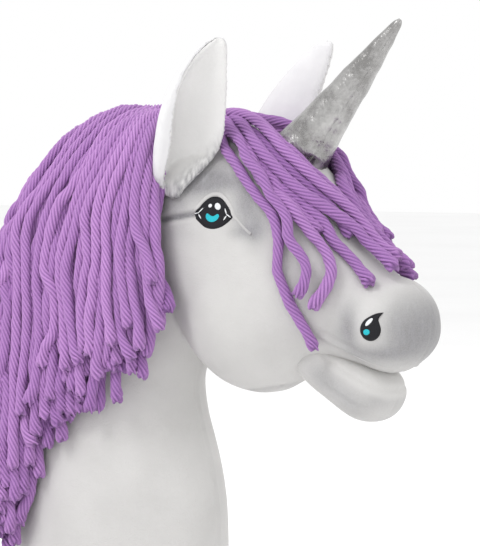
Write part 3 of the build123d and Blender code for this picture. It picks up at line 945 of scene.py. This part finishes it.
base_cloth = make_base_cloth()
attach(base_cloth, ROOT)
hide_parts("base_cover")
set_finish(base_cloth, "cover_cloth")


# ======== yarn
YARN_RADIUS = 3.9
STRAND_STEP = 4.0  # between the points that a strand is settled by
PLIES = 8
PLY_POINTS = 3
RING = PLIES * PLY_POINTS
LEAD = (35.0, 42.0)  # of the twist, in mm; a ring of points turns by one point's angle
PLY_SHAPE = np.array([0.72, 0.98, 1.0])


def crest_z(x):
    for (ax, az), (bx, bz) in zip(CREST, CREST[1:]):
        if bx <= x <= ax:
            return bz + (az - bz) * (x - bx) / (ax - bx)
    return CREST[0][1]


class Strand:
    """One length of yarn: its line in mm, the bunch it belongs to, and how high over the skin it lies."""

    def __init__(self, bunch, points, lift):
        self.bunch = bunch
        self.line = resample(catmull(points, 60), STRAND_STEP)
        self.lift = lift


STRANDS = []


def add_strand(bunch, points, lift):
    STRANDS.append(Strand(bunch, points, lift))


def yarn_root_x(hang_x):
    """Where on the crest a strand is sewn that hangs at this place along the neck."""
    return float(
        np.interp(hang_x, [-80, -66, -50, -30, -5, 27, 56, 70, 90], [-56, -40, -12, 18, 40, 50, 55, 57, 60])
    )


END_X = [-60, -52, -40, -28, -11, 22, 56, 72]
END_Z = [30, 38, 52, 92, 117, 128, 160, 190]


def mane_side(side):
    """The strands of one side, in three loose layers from the skin outward."""
    for layer, pitch in ((0, 8.6), (1, 8.2), (2, 8.4), (3, 10.5)):
        hangs = np.arange(72.0 - 2.7 * layer, -58, -pitch)
        places = [(x, yarn_root_x(x)) for x in hangs] + [(-52.5, -30), (-54.5, -36), (-56.5, -42), (-58, -48)]
        for x, sewn in places:
            hang = x + random.uniform(-1.6, 1.6)
            root = sewn + random.uniform(-1.5, 1.5)
            top = crest_z(root)
            lift = 4.2 + 5.6 * layer + random.uniform(-0.8, 0.8)
            pile = 0.22 + 0.78 * smooth(60, 0, root)
            end_z = float(np.interp(hang, END_X, END_Z)) + (0, 8, 16, 34)[layer]
            end_z += random.uniform(-4, 34) * random.random()
            if side > 0:
                end_z += 42 * smooth(16, 38, hang)
            swing = 7.0 * smooth(40, 80, hang)
            wave = [random.uniform(-5.5, 5.5) for _ in range(5)]
            bulge = 3.2 * layer + random.uniform(0, 3)
            points = [
                (root + 1, side * 1.5, top + 2 + 0.8 * lift * pile),
                (root - 2, side * 14, top + 2.5 + lift * pile),
                (root + (hang - root) * 0.18, side * (30 + bulge), top - 5 + 0.6 * lift * pile),
                (root + (hang - root) * 0.50 + wave[0] * 0.5, side * (47 + bulge), top - 26),
                (root + (hang - root) * 0.86 + wave[1], side * (57 + bulge), top - 58),
            ]
            z = top - 92
            k = 2
            while z > end_z + 24:
                points.append((hang + wave[k % 5] + swing * (top - z - 60) / 90, side * (60 + bulge), z))
                z -= 38
                k += 1
            points.append((hang + swing * 1.5 + wave[k % 5] * 1.4, side * (60 + bulge), end_z))
            number = 1 if hang > 22 else 2 if hang > -18 else 3
            add_strand(f"mane_{number}_{'right' if side < 0 else 'left'}", points, lift)


def mane_back():
    """The strands behind the neck: short rows sewn down the crest, and the long rear lock over them."""
    for row, (x0, z0) in enumerate([(-61, 250), (-65, 225), (-67, 200), (-68, 176), (-69, 152), (-71, 128)]):
        for k in range(9):
            side = (k - 4) / 4
            spread = side * (30 + 3 * (row % 2)) + random.uniform(-2, 2)
            depth = 12 * (abs(side) ** 2)
            low = max(40, z0 - 92 - random.uniform(0, 26))
            points = [
                (x0 + 2, spread * 0.10, z0),
                (x0 - 8, spread * 0.35, z0 - 3),
                (x0 - 12 + depth * 0.4, spread * 0.8, z0 - 26),
                (x0 - 10 + depth, spread, z0 - 58),
                (x0 - 9 + depth, spread * 1.05 + random.uniform(-3, 3), low),
            ]
            add_strand("root_back", points, 4.2)
    for layer in range(3):
        count = (19, 18, 16)[layer]
        for k in range(count):
            side = (k + 0.5 + 0.4 * random.uniform(-1, 1)) / count * 2 - 1
            across = side * (57 + 3 * layer)
            depth = 30 * abs(side) ** 2.2
            lift = 9.5 + 5.6 * layer + random.uniform(-0.8, 0.8)
            root = -44 - 5 * layer - 4 * (1 - abs(side)) + random.uniform(-3, 3)
            top = crest_z(max(root, -57)) + 1
            low = 36 + (0, 10, 24)[layer] + random.uniform(0, 40) * random.random() + 6 * abs(side)
            wave = [random.uniform(-4, 4) for _ in range(4)]
            points = [
                (root, side * 3, top + 2),
                (root - 10 - lift * 0.5, side * 18, top + 3),
                (root - 24 - lift * 0.6 + depth * 0.5, side * 38, top - 16),
                (-84 - lift * 0.5 + depth, across * 0.86, top - 50),
                (-86 - lift * 0.4 + depth, across * 0.97 + wave[0], 170),
                (-90 + depth, across + wave[1], 120),
                (-92 + depth, across + wave[2], 76),
                (-90 + depth, across + wave[3], low),
            ]
            add_strand("mane_rear", points, lift)


mane_side(-1)
mane_side(1)
mane_back()


# -------- settling: strands push each other and the skin away
CLEAR_OF_SKIN = 4.1
WIDE, GIVE = 70, 6.5  # half width where the locks start to be drawn in, and the most that they pass it by


def settle(strands, rounds, spacing, loyal=0.03):
    owner = np.concatenate([np.full(len(s.line), i) for i, s in enumerate(strands)])
    order = np.concatenate([np.arange(len(s.line)) for s in strands])
    last = np.concatenate([np.full(len(s.line), len(s.line) - 1) for s in strands])
    where = np.concatenate([s.line for s in strands])
    home = where.copy()
    lift = np.concatenate([np.full(len(s.line), s.lift) for s in strands])
    inner = (order > 0) & (order < last)
    before = np.arange(len(where)) - (order > 0)
    after = np.arange(len(where)) + (order < last)
    hold = np.clip((order - 2) / 14.0, 0, 1)[:, None]
    for _ in range(rounds):
        tree = kdtree.KDTree(len(where))
        for i, p in enumerate(where):
            tree.insert(p, i)
        tree.balance()
        push = np.zeros_like(where)
        hits = np.zeros(len(where))
        for i in range(len(where)):
            if order[i] < 4:
                continue
            for _, j, d in tree.find_range(where[i], spacing):
                if owner[j] != owner[i] and d > 1e-3:
                    push[i] += (where[i] - where[j]) * ((spacing - d) / d * 0.5)
                    hits[i] += 1
        push /= np.maximum(1, hits ** 0.7)[:, None]
        where += push * hold * 0.8
        middle = (where[before] + where[after]) / 2
        where[inner] += (middle[inner] - where[inner]) * 0.22
        where += (home - where) * loyal
        for i in range(len(where)):
            if order[i] < 3:
                continue
            place, normal, _, _ = TREE.find_nearest(Vector(where[i]))
            gap = (Vector(where[i]) - place).dot(normal)
            room = min(CLEAR_OF_SKIN, lift[i])
            if gap < room:
                where[i] += np.array(normal) * (room - gap)
    at = 0
    for s in strands:
        s.line = where[at:at + len(s.line)]
        across = np.abs(s.line[:, 1])
        near = WIDE + GIVE * np.tanh((across - WIDE) / GIVE)
        s.line[:, 1] = np.sign(s.line[:, 1]) * np.where(across > WIDE, near, across)
        at += len(s.line)


settle(STRANDS, rounds=12, spacing=7.6)


# -------- forelock: it falls from the poll over the forehead
# points of each strand in mm, drawn on the right (negative y), and how high it lies over the skin
FORELOCK = [
    (
        4.5,
        [
            (92, -8, 339), (104, -26, 330), (115.8, -36.9, 317.8), (127.4, -41.8, 308.5),
            (139.3, -47.1, 296.8), (151.9, -49.3, 284.1), (161.3, -48.6, 274.8), (167.6, -50.9, 258.5),
            (168, -52.7, 244.5), (168.3, -53.1, 235.2), (172.3, -51.6, 224.7), (175.6, -49.2, 214.1),
            (181.2, -44.9, 202.3), (186.4, -40.5, 190.4), (188.6, -38, 183)
        ]
    ),
    (
        9,
        [
            (90, -6, 342), (104, -20, 338), (115.4, -29.7, 332.1), (127.9, -35.9, 323.8), (138, -42.7, 312.1),
            (149.8, -45.9, 301.6), (159.8, -48.6, 288.9), (169.7, -48.7, 278.4), (174.8, -50.2, 268),
            (176.1, -52.2, 258.7), (183.4, -50.7, 249.4), (188.9, -49.6, 241.4), (189.4, -50.5, 233.2),
            (187.4, -51.5, 225.1), (183.2, -52.5, 220.2)
        ]
    ),
    (
        9,
        [
            (88, -3, 343), (108, -16, 340), (123.2, -25.4, 333.9), (136.2, -33.6, 323.8),
            (150.5, -38.4, 312.1), (162.2, -39, 302.8), (174, -37.9, 292.3), (184.8, -33.1, 284.2),
            (197.2, -24.1, 274.7), (206.9, -17.4, 265.3), (217.5, -12.1, 253.6), (227.5, -12.1, 246.5),
            (238, -14, 238.7)
        ]
    ),
    (
        4.5,
        [
            (86, -8, 339), (110, -22, 334), (129.8, -27.8, 325), (143.1, -35.5, 312.1), (153.5, -40.9, 298.1),
            (163, -40.3, 291.1), (174.5, -36.5, 284.1), (183.9, -33.9, 274.8), (191.5, -30.5, 267.8),
            (198.4, -30.6, 257.3), (208.4, -26.7, 246.9), (217.1, -25.3, 237.6), (226.6, -27.4, 228.6)
        ]
    ),
    (
        6,
        [
            (90, -10, 339), (108, -25, 332), (123.1, -30.2, 326.3), (140.2, -38.9, 311.3),
            (149.8, -43.7, 299.1), (160, -44.3, 289.9), (169.9, -42.5, 283), (177.7, -41.6, 274.9),
            (185.2, -40.4, 265.5), (192.7, -39, 256.3), (200.5, -38.3, 244.7), (203.3, -40.7, 233.2),
            (199, -44.9, 221.6), (191.9, -46.6, 212.1)
        ]
    ),
    (
        11,
        [
            (84, -2, 342), (98, -10, 343), (107.9, -16.5, 342.7), (121, -18.5, 341.7), (135.3, -22.2, 335.7),
            (149.2, -27.5, 326.3), (159.2, -29.9, 318), (169.7, -29, 309.8), (181, -26.9, 299.3),
            (190.4, -22.1, 289.9), (198.8, -15.4, 281.6), (208.6, -9.9, 269.8), (217.6, -6.1, 258.1),
            (226.6, -5, 250.2), (235, -2, 246)
        ]
    ),
    (
        6,
        [
            (86, 0, 341), (103.2, -4, 343), (124.6, -12.6, 339), (139.2, -19.2, 331.9), (150.2, -23.2, 323.8),
            (162.3, -23.4, 315.6), (173.4, -21.2, 305), (181.4, -15.8, 297.1), (189.1, -11.9, 288.5),
            (197.1, -6.9, 277.8), (205.1, -4, 267.9), (214.6, -2, 259.6)
        ]
    ),
    (
        4.2,
        [
            (90, -10, 338), (112, -24, 330), (132, -33, 318), (147, -39, 305), (160, -41, 293),
            (171, -40, 282), (182, -37, 271), (190, -35, 262)
        ]
    ),
    (
        4.2,
        [
            (88, -5, 340), (112, -17, 336), (134, -25, 327), (150, -30, 316), (163, -31, 305),
            (176, -28, 294), (188, -23, 283), (197, -19, 272), (206, -17, 261)
        ]
    ),
]
FAR_FORELOCK = [  # strands that pass the horn on the left
    (
        5,
        [
            (90, 6, 341), (112, 16, 337), (134, 25, 329), (152, 29, 322), (168.9, 27, 314), (173, 25.7, 307),
            (178.3, 24.7, 299.8), (183.5, 25.7, 291.4), (189.8, 24.5, 278.3), (200.3, 24.7, 265.3),
            (210.6, 24.9, 256.2)
        ]
    ),
    (
        8,
        [
            (88, 3, 343), (110, 12, 340), (130, 21, 335), (148, 26, 327), (162, 25.7, 319.9),
            (170, 21.7, 311.7), (180.3, 13.7, 300), (187.7, 10.2, 289.4), (196.1, 9.9, 277.6),
            (203.5, 14.9, 266.4), (208.8, 21, 255.3)
        ]
    ),
    (
        5,
        [
            (92, 9, 340), (114, 20, 334), (138, 29, 323), (156, 31, 313), (171.3, 22.6, 305.2),
            (179.8, 13, 299.7), (185.9, 6, 292.5), (193.1, 4.6, 283.7), (200.3, 6.1, 272.1),
            (209.6, 10.4, 260.9), (222, 11.5, 248.8), (236.5, 9.8, 238.6)
        ]
    ),
]
forelock_strands = []
for side in (-1, 1):
    if side < 0:
        chosen = FORELOCK
    else:
        chosen = [(lift, points) for lift, points in FORELOCK if points[-1][1] < -14]
        chosen += [(lift, [(x, -y, z) for x, y, z in points]) for lift, points in FAR_FORELOCK]
    for lift, points in chosen:
        shift = random.uniform(-2.5, 2.5) if side > 0 else 0.0
        moved = []
        for i, (x, y, z) in enumerate(points):
            share = min(1, i / 4)
            moved.append((x + shift * share, -side * y, z + shift * 0.5 * share))
        forelock_strands.append(Strand("forelock_" + ("right" if side < 0 else "left"), moved, lift))
settle(forelock_strands, rounds=6, spacing=7.4, loyal=0.3)
STRANDS += forelock_strands


# -------- the yarn itself
def frames_along(line):
    tangent = np.gradient(line, axis=0)
    tangent /= np.linalg.norm(tangent, axis=1)[:, None]
    normal = np.cross(tangent[0], (0.3, 0.9, 0.2))
    normal /= np.linalg.norm(normal)
    normals = []
    for t in tangent:
        normal = normal - t * np.dot(normal, t)
        normal /= np.linalg.norm(normal)
        normals.append(normal)
    normals = np.array(normals)
    return tangent, normals, np.cross(tangent, normals)


def yarn_rings(strand, turn, lead, thick):
    """Vertices, triangles and ply valleys of one strand; its ridges shift by a point from ring to ring."""
    step = lead / RING
    line = resample(catmull([Vector(p) for p in strand.line], len(strand.line) * 3), step)
    tangent, side, up = frames_along(line)
    count = len(line)
    along = np.arange(count) * step
    end = along[-1] - along
    size = YARN_RADIUS * thick * (
        1 + 0.05 * np.sin(along * 0.11 + turn * 3) + 0.03 * np.sin(along * 0.31 + turn)
    )
    size = size * (1 + 0.24 * np.exp(-((end - 3) / 6.0) ** 2)) * np.clip(0.75 + end / 4.0, 0, 1)
    i = np.arange(count)[:, None]
    k = np.arange(RING)[None, :]
    ply = (k + i) % RING
    shape = PLY_SHAPE[ply % PLY_POINTS]
    uneven = (0.05 * np.sin(turn * 5 + np.arange(PLIES) * 2.1))[ply // PLY_POINTS]
    depth = 1 - (1 - shape) * (1 + 0.9 * np.exp(-(end / 7.0) ** 2))[:, None] + uneven * (shape > 0.9)
    a = turn + 2 * np.pi * k / RING + 0 * i
    radius = size[:, None] * depth
    around = np.cos(a)[:, :, None] * side[:, None, :] + np.sin(a)[:, :, None] * up[:, None, :]
    verts = line[:, None, :] + radius[:, :, None] * around
    fray = np.exp(-(end / 4.0) ** 2)[:, None] * (
        np.sin(np.arange(PLIES) * 2.4 + turn * 7) * 2.0
    )[ply // PLY_POINTS]
    verts = (verts + fray[:, :, None] * tangent[:, None, :]).reshape(-1, 3)
    # marks the ply valleys, which the yarn material paints darker as shade
    valley = (shape < 0.9).astype(np.float32).ravel()
    i, n = i[:-1] * RING, (k + 1) % RING
    near, next_near, far, next_far = i + k, i + n, i + RING + k, i + RING + n
    halves = ([near, next_near, far], [next_near, next_far, far])
    tris = np.concatenate([np.stack(half, -1).reshape(-1, 3) for half in halves])
    tips = np.array([line[0], line[-1]])
    base, last = len(verts), (count - 1) * RING
    k, n = k[0], n[0]
    caps = [
        np.stack([n, k, np.full(RING, base)], 1), np.stack([last + k, last + n, np.full(RING, base + 1)], 1)
    ]
    return np.concatenate([verts, tips]), np.concatenate([tris, *caps]), np.concatenate([valley, [0.5, 0.5]])


def yarn_mesh(name, strands):
    verts, tris, valleys, tones_and_depth_shades = [], [], [], []
    at = 0
    for s in strands:
        v, t, valley = yarn_rings(
            s, random.uniform(0, 6.28), random.uniform(*LEAD), random.uniform(0.92, 1.06)
        )
        verts.append(v)
        tris.append(t + at)
        valleys.append(valley)
        # random tone of each strand, plus painted shade: strands lying nearer the skin (inner layers) get a
        # darker tone
        tones_and_depth_shades.append(np.full(len(v), 0.1 + 0.55 * random.random() + 0.35 * smooth(4, 20, s.lift)))
        at += len(v)
    verts, tris = np.concatenate(verts) * MM, np.concatenate(tris)
    mesh = bpy.data.meshes.new(name)
    mesh.vertices.add(len(verts))
    mesh.vertices.foreach_set("co", verts.astype(np.float32).ravel())
    mesh.loops.add(tris.size)
    mesh.loops.foreach_set("vertex_index", tris.ravel().astype(np.int32))
    mesh.polygons.add(len(tris))
    mesh.polygons.foreach_set("loop_start", (np.arange(len(tris)) * 3).astype(np.int32))
    mesh.update(calc_edges=True)
    mesh.shade_smooth()
    for key, values in (("valley", valleys), ("tone_and_depth_shade", tones_and_depth_shades)):
        mesh.attributes.new(key, "FLOAT", "POINT").data.foreach_set(
            "value", np.concatenate(values).astype(np.float32)
        )
    return new_object(name, mesh)


BUNCHES = {}
for strand in STRANDS:
    BUNCHES.setdefault(strand.bunch, []).append(strand)
MOST_YARN = 4200.0  # mm of yarn in one piece, which keeps each mesh a sensible size
for bunch, members in BUNCHES.items():
    runs, run = [[]], 0.0
    for s in members:
        size = len(s.line) * STRAND_STEP
        if run + size > MOST_YARN:
            runs.append([])
            run = 0.0
        runs[-1].append(s)
        run += size
    for number, group in enumerate(runs):
        yarn = yarn_mesh(f"yarn_{bunch}_{'abcdefghijkl'[number]}", group)
        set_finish(yarn, "yarn")
        side = -1 if "right" in bunch else 1
        if bunch == "root_back":
            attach(yarn, ROOT)
            continue
        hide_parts(bunch)
        if bunch == "mane_rear":
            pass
        elif bunch.startswith("forelock"):
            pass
        else:
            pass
        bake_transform(yarn)


# ======== materials
class Paint:
    """Short calls for the nodes of one material, on the object's own coordinates in metres."""

    def __init__(self, name):
        self.material = bpy.data.materials.new(name)
        self.material.use_nodes = True
        self.tree = self.material.node_tree
        self.shader = self.tree.nodes["Principled BSDF"]
        self.coords = self.tree.nodes.new("ShaderNodeTexCoord").outputs["Object"]

    def set(self, **values):
        for key, value in values.items():
            socket = self.shader.inputs[key.replace("_", " ")]
            socket.default_value = (*value, 1) if isinstance(value, tuple) and len(value) == 3 else value
        return self

    def link(self, value, socket):
        if isinstance(value, bpy.types.NodeSocket):
            self.tree.links.new(value, socket)
        elif isinstance(value, tuple):
            socket.default_value = (*value, 1) if len(value) == 3 else value
        else:
            socket.default_value = value

    def noise(self, scale, detail=2.0, rough=0.5, stretch=None):
        node = self.tree.nodes.new("ShaderNodeTexNoise")
        node.inputs["Scale"].default_value = scale
        node.inputs["Detail"].default_value = detail
        node.inputs["Roughness"].default_value = rough
        self.link(self.stretched(stretch) if stretch else self.coords, node.inputs["Vector"])
        return node.outputs["Fac"]

    def stretched(self, scale, turn=(0, 0, 0)):
        node = self.tree.nodes.new("ShaderNodeMapping")
        node.inputs["Scale"].default_value = scale
        node.inputs["Rotation"].default_value = turn
        self.link(self.coords, node.inputs["Vector"])
        return node.outputs["Vector"]

    def wave(self, scale, distortion=0.0, vector=None, direction="X"):
        node = self.tree.nodes.new("ShaderNodeTexWave")
        node.bands_direction = direction
        node.inputs["Scale"].default_value = scale
        node.inputs["Distortion"].default_value = distortion
        node.inputs["Detail Scale"].default_value = 2.0
        self.link(vector or self.coords, node.inputs["Vector"])
        return node.outputs["Fac"]

    def math(self, operation, a, b=0.0, clamp=False):
        node = self.tree.nodes.new("ShaderNodeMath")
        node.operation = operation
        node.use_clamp = clamp
        self.link(a, node.inputs[0])
        self.link(b, node.inputs[1])
        return node.outputs[0]

    def attribute(self, name):
        node = self.tree.nodes.new("ShaderNodeAttribute")
        node.attribute_name = name
        return node.outputs["Fac"]

    def ramp(self, factor, *stops):
        node = self.tree.nodes.new("ShaderNodeValToRGB")
        elements = node.color_ramp.elements
        while len(elements) < len(stops):
            elements.new(0.5)
        for element, (place, color) in zip(elements, stops):
            element.position = place
            element.color = (*color, 1) if isinstance(color, tuple) else (color, color, color, 1)
        self.link(factor, node.inputs["Fac"])
        return node.outputs["Color"]

    def mix(self, factor, a, b):
        node = self.tree.nodes.new("ShaderNodeMix")
        node.data_type = "RGBA"
        self.link(factor, node.inputs[0])
        self.link(a, node.inputs[6])
        self.link(b, node.inputs[7])
        return node.outputs[2]

    def bump(self, height, distance_mm, strength=1.0):
        node = self.tree.nodes.new("ShaderNodeBump")
        node.inputs["Distance"].default_value = distance_mm * MM
        node.inputs["Strength"].default_value = strength
        self.link(height, node.inputs["Height"])
        self.tree.links.new(node.outputs["Normal"], self.shader.inputs["Normal"])

    def out(self, **values):
        for key, value in values.items():
            self.tree.links.new(value, self.shader.inputs[key.replace("_", " ")])
        return self.material


def plush_material(name, dim, light):
    """Short pile with grey where the piece's grey attribute says: airbrushed grey, and on the skin also
    painted shade along the eye crease and jowl seam.
    """
    p = Paint(name)
    p.set(
        Roughness=0.92, Specular_IOR_Level=0.18, Sheen_Weight=0.2, Sheen_Roughness=0.45,
        Sheen_Tint=(1.0, 0.99, 0.98)
    )
    streaks = p.noise(230, 4, 0.65, (1.0, 1.0, 0.4))
    fibres = p.noise(1100, 3, 0.7)
    grey = p.attribute("grey")
    ragged = p.math(
        "MULTIPLY", grey, p.math("ADD", 0.25, p.math("MULTIPLY", p.math("ADD", streaks, fibres), 0.75)),
        clamp=True
    )
    cloth = p.ramp(p.noise(24, 3), (0.3, dim), (0.7, light))
    cloth = p.mix(p.math("MULTIPLY", fibres, 0.16), cloth, (0.42, 0.415, 0.41))
    paint = p.ramp(streaks, (0.3, (0.20, 0.197, 0.205)), (0.7, (0.32, 0.316, 0.328)))
    p.bump(p.math("ADD", fibres, p.math("MULTIPLY", p.noise(420, 2), 0.8)), 0.4, 0.7)
    return p.out(Base_Color=p.mix(ragged, cloth, paint))


def band_scale(pitch_mm):
    """The wave texture's scale for one band each pitch_mm."""
    return 2 * math.pi / (20 * pitch_mm * MM)


def weave_height(p, pitch_mm):
    """Over-and-under threads of a plain weave."""
    scale = band_scale(pitch_mm)
    return p.math("MAXIMUM", p.wave(scale), p.wave(scale, direction="Z"))


def cloth_material(name, light, dark, rough, sheen=0.1, pitch=0.8):
    p = Paint(name)
    p.set(Roughness=rough, Specular_IOR_Level=0.3, Sheen_Weight=sheen, Sheen_Roughness=0.5)
    mottled = p.noise(60, 4, 0.6)
    threads = weave_height(p, pitch)
    p.bump(p.math("ADD", threads, p.noise(900, 2)), 0.12, 0.5)
    base = p.ramp(mottled, (0.3, dark), (0.7, light))
    grey = p.math("MULTIPLY", p.attribute("grey"), 0.9)
    return p.out(Base_Color=p.mix(grey, base, (0.27, 0.27, 0.285)))


def lame_material():
    """Foil printed on cloth: soft crumples that break up the highlight, over a fine weave."""
    p = Paint("silver_lame")
    p.set(Metallic=0.92, Roughness=0.3, Specular_IOR_Level=0.6)
    crease = p.noise(62, 4, 0.55, (1.0, 1.0, 0.7))
    fine = p.noise(420, 3, 0.6)
    glitter = p.noise(1500, 1, 0.5)
    # painted reflection: the foil's colour goes lighter and darker with the crumple noise, standing in for
    # the light its crumples catch and the shade in their folds
    crumple_light_and_shade = p.math("ADD", p.math("MULTIPLY", crease, 0.75), p.math("MULTIPLY", fine, 0.25))
    tone = p.ramp(crumple_light_and_shade, (0.38, (0.27, 0.265, 0.26)), (0.5, (0.37, 0.365, 0.36)), (0.64, (0.49, 0.485, 0.475)))
    p.bump(p.math("ADD", p.math("MULTIPLY", crease, 3.0), p.math("MULTIPLY", fine, 0.5)), 1.1, 0.6)
    rough = p.ramp(
        p.math("ADD", p.math("MULTIPLY", glitter, 0.4), p.math("MULTIPLY", crease, 0.6)), (0.3, 0.22),
        (0.7, 0.38)
    )
    return p.out(Base_Color=tone, Roughness=rough)


def yarn_material():
    p = Paint("purple_yarn")
    p.set(
        Roughness=0.88, Specular_IOR_Level=0.2, Sheen_Weight=0.16, Sheen_Roughness=0.5,
        Sheen_Tint=(0.93, 0.82, 1.0)
    )
    # strand tone: random per strand, and darker on the inner strands as painted shade
    tone_and_depth_shade = p.attribute("tone_and_depth_shade")
    valley = p.attribute("valley")
    fuzz = p.noise(1100, 3, 0.65)
    # painted shade: the low colours darken the ply valleys, standing in for the shade between the plies
    high = p.mix(tone_and_depth_shade, (0.26, 0.105, 0.34), (0.47, 0.235, 0.54))
    low = p.mix(tone_and_depth_shade, (0.11, 0.032, 0.18), (0.18, 0.065, 0.27))
    tone = p.mix(p.math("MULTIPLY", valley, 0.85), high, low)
    tone = p.mix(p.math("MULTIPLY", fuzz, 0.30), tone, (0.70, 0.44, 0.80))
    p.bump(p.math("ADD", fuzz, p.noise(3200, 1)), 0.35, 0.6)
    return p.out(Base_Color=tone)


def stitch_material(name, light, dark, turn, rough=0.6, pitch_mm=0.55):
    p = Paint(name)
    p.set(Roughness=rough, Specular_IOR_Level=0.22)
    line = p.stretched((1, 1, 1), (0, turn, 0))
    threads = p.wave(band_scale(pitch_mm), 0.6, line, "X")
    fine = p.noise(1800, 2)
    p.bump(p.math("ADD", threads, p.math("MULTIPLY", fine, 0.4)), 0.16, 0.7)
    return p.out(
        Base_Color=p.ramp(
            p.math("ADD", p.math("MULTIPLY", threads, 0.7), p.math("MULTIPLY", fine, 0.3)), (0.15, dark),
            (0.85, light)
        )
    )


def tape_material():
    p = Paint("woven_tape")
    p.set(Roughness=0.85, Sheen_Weight=0.15)
    threads = weave_height(p, 1.1)
    p.bump(threads, 0.25, 0.7)
    return p.out(
        Base_Color=p.ramp(
            p.math("MULTIPLY", threads, p.noise(300, 2)), (0.1, (0.22, 0.08, 0.36)), (0.6, (0.45, 0.21, 0.66))
        )
    )


def board_material():
    p = Paint("plywood_disc")
    p.set(Roughness=0.7)
    rings = p.wave(9, 5.0, p.stretched((1, 6, 6)), "Y")
    grain = p.noise(120, 6, 0.7, (1, 12, 12))
    p.bump(grain, 0.2, 0.5)
    return p.out(
        Base_Color=p.ramp(
            p.math("ADD", p.math("MULTIPLY", rings, 0.5), p.math("MULTIPLY", grain, 0.5)),
            (0.25, (0.42, 0.26, 0.13)), (0.75, (0.66, 0.47, 0.27))
        )
    )


def tube_material():
    p = Paint("moulded_socket")
    p.set(Roughness=0.5, Specular_IOR_Level=0.5)
    speck = p.noise(700, 2)
    p.bump(speck, 0.08, 0.5)
    return p.out(Base_Color=p.ramp(p.noise(40, 3), (0.3, (0.075, 0.075, 0.08)), (0.7, (0.11, 0.11, 0.12))))


MATERIALS = {
    "plush": plush_material("short_white_pile", (0.525, 0.517, 0.507), (0.585, 0.577, 0.566)),
    "filling": cloth_material("fibre_filling", (0.85, 0.85, 0.85), (0.75, 0.75, 0.75), 0.95),
    "lining": cloth_material("smooth_lining", (0.735, 0.73, 0.735), (0.68, 0.675, 0.685), 0.75, 0.15, 0.7),
    "lame": lame_material(),
    "yarn": yarn_material(),
    "tape": tape_material(),
    "stitch_black": stitch_material("black_satin_stitch", (0.018, 0.018, 0.022), (0.004, 0.004, 0.006), 0.5),
    "stitch_white": stitch_material("white_satin_stitch", (0.90, 0.91, 0.92), (0.62, 0.64, 0.66), 1.2),
    "stitch_cyan": stitch_material("cyan_satin_stitch", (0.035, 0.58, 0.66), (0.01, 0.33, 0.40), 0.9),
    "cover_cloth": cloth_material("base_cloth", (0.80, 0.80, 0.82), (0.70, 0.70, 0.73), 0.9, 0.2, 0.9),
    "board": board_material(),
    "tube": tube_material(),
}
# painted light: the same white pile as the skin, made lighter on the ears to stand in for the stronger light
# from above
EAR_PILE_PAINTED_LIGHTER = plush_material("ear_pile_painted_lighter", (0.69, 0.685, 0.675), (0.74, 0.735, 0.725))
for piece in list(bpy.data.objects):
    if piece.type != "MESH" or "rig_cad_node" in piece:
        continue
    if "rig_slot" in piece:
        piece.data.materials.clear()
        piece.data.materials.append(
            EAR_PILE_PAINTED_LIGHTER if piece.name.startswith("ear_cloth") else MATERIALS[piece["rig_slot"]]
        )
CAD_FINISH = {
    "base_cover": "cover_cloth", "base_board": "board", "stick_socket_tube": "tube", "socket_end_cap": "tube",
    "mane_tape": "tape"
}
for node, finish in CAD_FINISH.items():
    part = frame["nodes"][node]
    if not part.material_slots:
        part.data.materials.append(None)
    for material_slot in part.material_slots:
        material_slot.material = MATERIALS[finish]


# ======== floor, light, camera
scene = bpy.context.scene
scene.view_settings.view_transform = "Standard"

floor_mesh = bpy.data.meshes.new("floor")
floor_mesh.from_pydata([(-9, -9, 0), (9, -9, 0), (9, 9, 0), (-9, 9, 0)], [], [(0, 1, 2, 3)])
floor = new_object("floor", floor_mesh)
floor.location.z = CAD_BOX[0].z - 0.5 * MM
floor_paint = Paint("pale_floor")
floor_paint.set(Roughness=0.8, Specular_IOR_Level=0.1)
floor_mesh.materials.append(
    floor_paint.out(
        Base_Color=floor_paint.ramp(
            floor_paint.noise(3, 3), (0.3, (0.93, 0.93, 0.93)), (0.7, (0.955, 0.955, 0.955))
        )
    )
)

world = bpy.data.worlds.new("studio")
world.use_nodes = True
world.node_tree.nodes["Background"].inputs["Color"].default_value = (1, 1, 1, 1)
world.node_tree.nodes["Background"].inputs["Strength"].default_value = 1.0
scene.world = world


def area_light(name, place, target, size, power):
    data = bpy.data.lights.new(name, "AREA")
    data.size = size
    data.energy = power
    obj = new_object(name, data)
    obj.location = place
    obj.rotation_mode = "QUATERNION"
    obj.rotation_quaternion = (Vector(target) - Vector(place)).to_track_quat("-Z", "Y")


MIDDLE = (0.08, 0, 0.22)
area_light("key", (-0.35, -1.5, 2.0), MIDDLE, 0.8, 22)
area_light("fill", (1.6, -1.0, 1.2), MIDDLE, 1.2, 4)
area_light("back", (0.1, 1.8, 1.6), MIDDLE, 1.2, 8)

AZIMUTH, ELEVATION = math.radians(33), math.radians(2.5)
LEVEL = math.cos(ELEVATION)
BACK = Vector((math.sin(AZIMUTH) * LEVEL, -math.cos(AZIMUTH) * LEVEL, math.sin(ELEVATION)))
RIGHT = Vector((math.cos(AZIMUTH), math.sin(AZIMUTH), 0))
DISTANCE = 2.5
AIM = RIGHT * 0.0868 + Vector((0, 0, 0.2289)) + BACK * 0.065
camera_data = bpy.data.cameras.new("camera")
camera_data.sensor_fit = "AUTO"
camera_data.sensor_width = 24
camera_data.lens = 157
camera_data.clip_end = 100
camera = new_object("camera", camera_data)
camera.rotation_mode = "QUATERNION"
camera.rotation_quaternion = (-BACK).to_track_quat("-Z", "Y")
camera.location = AIM + BACK * DISTANCE
scene.camera = camera
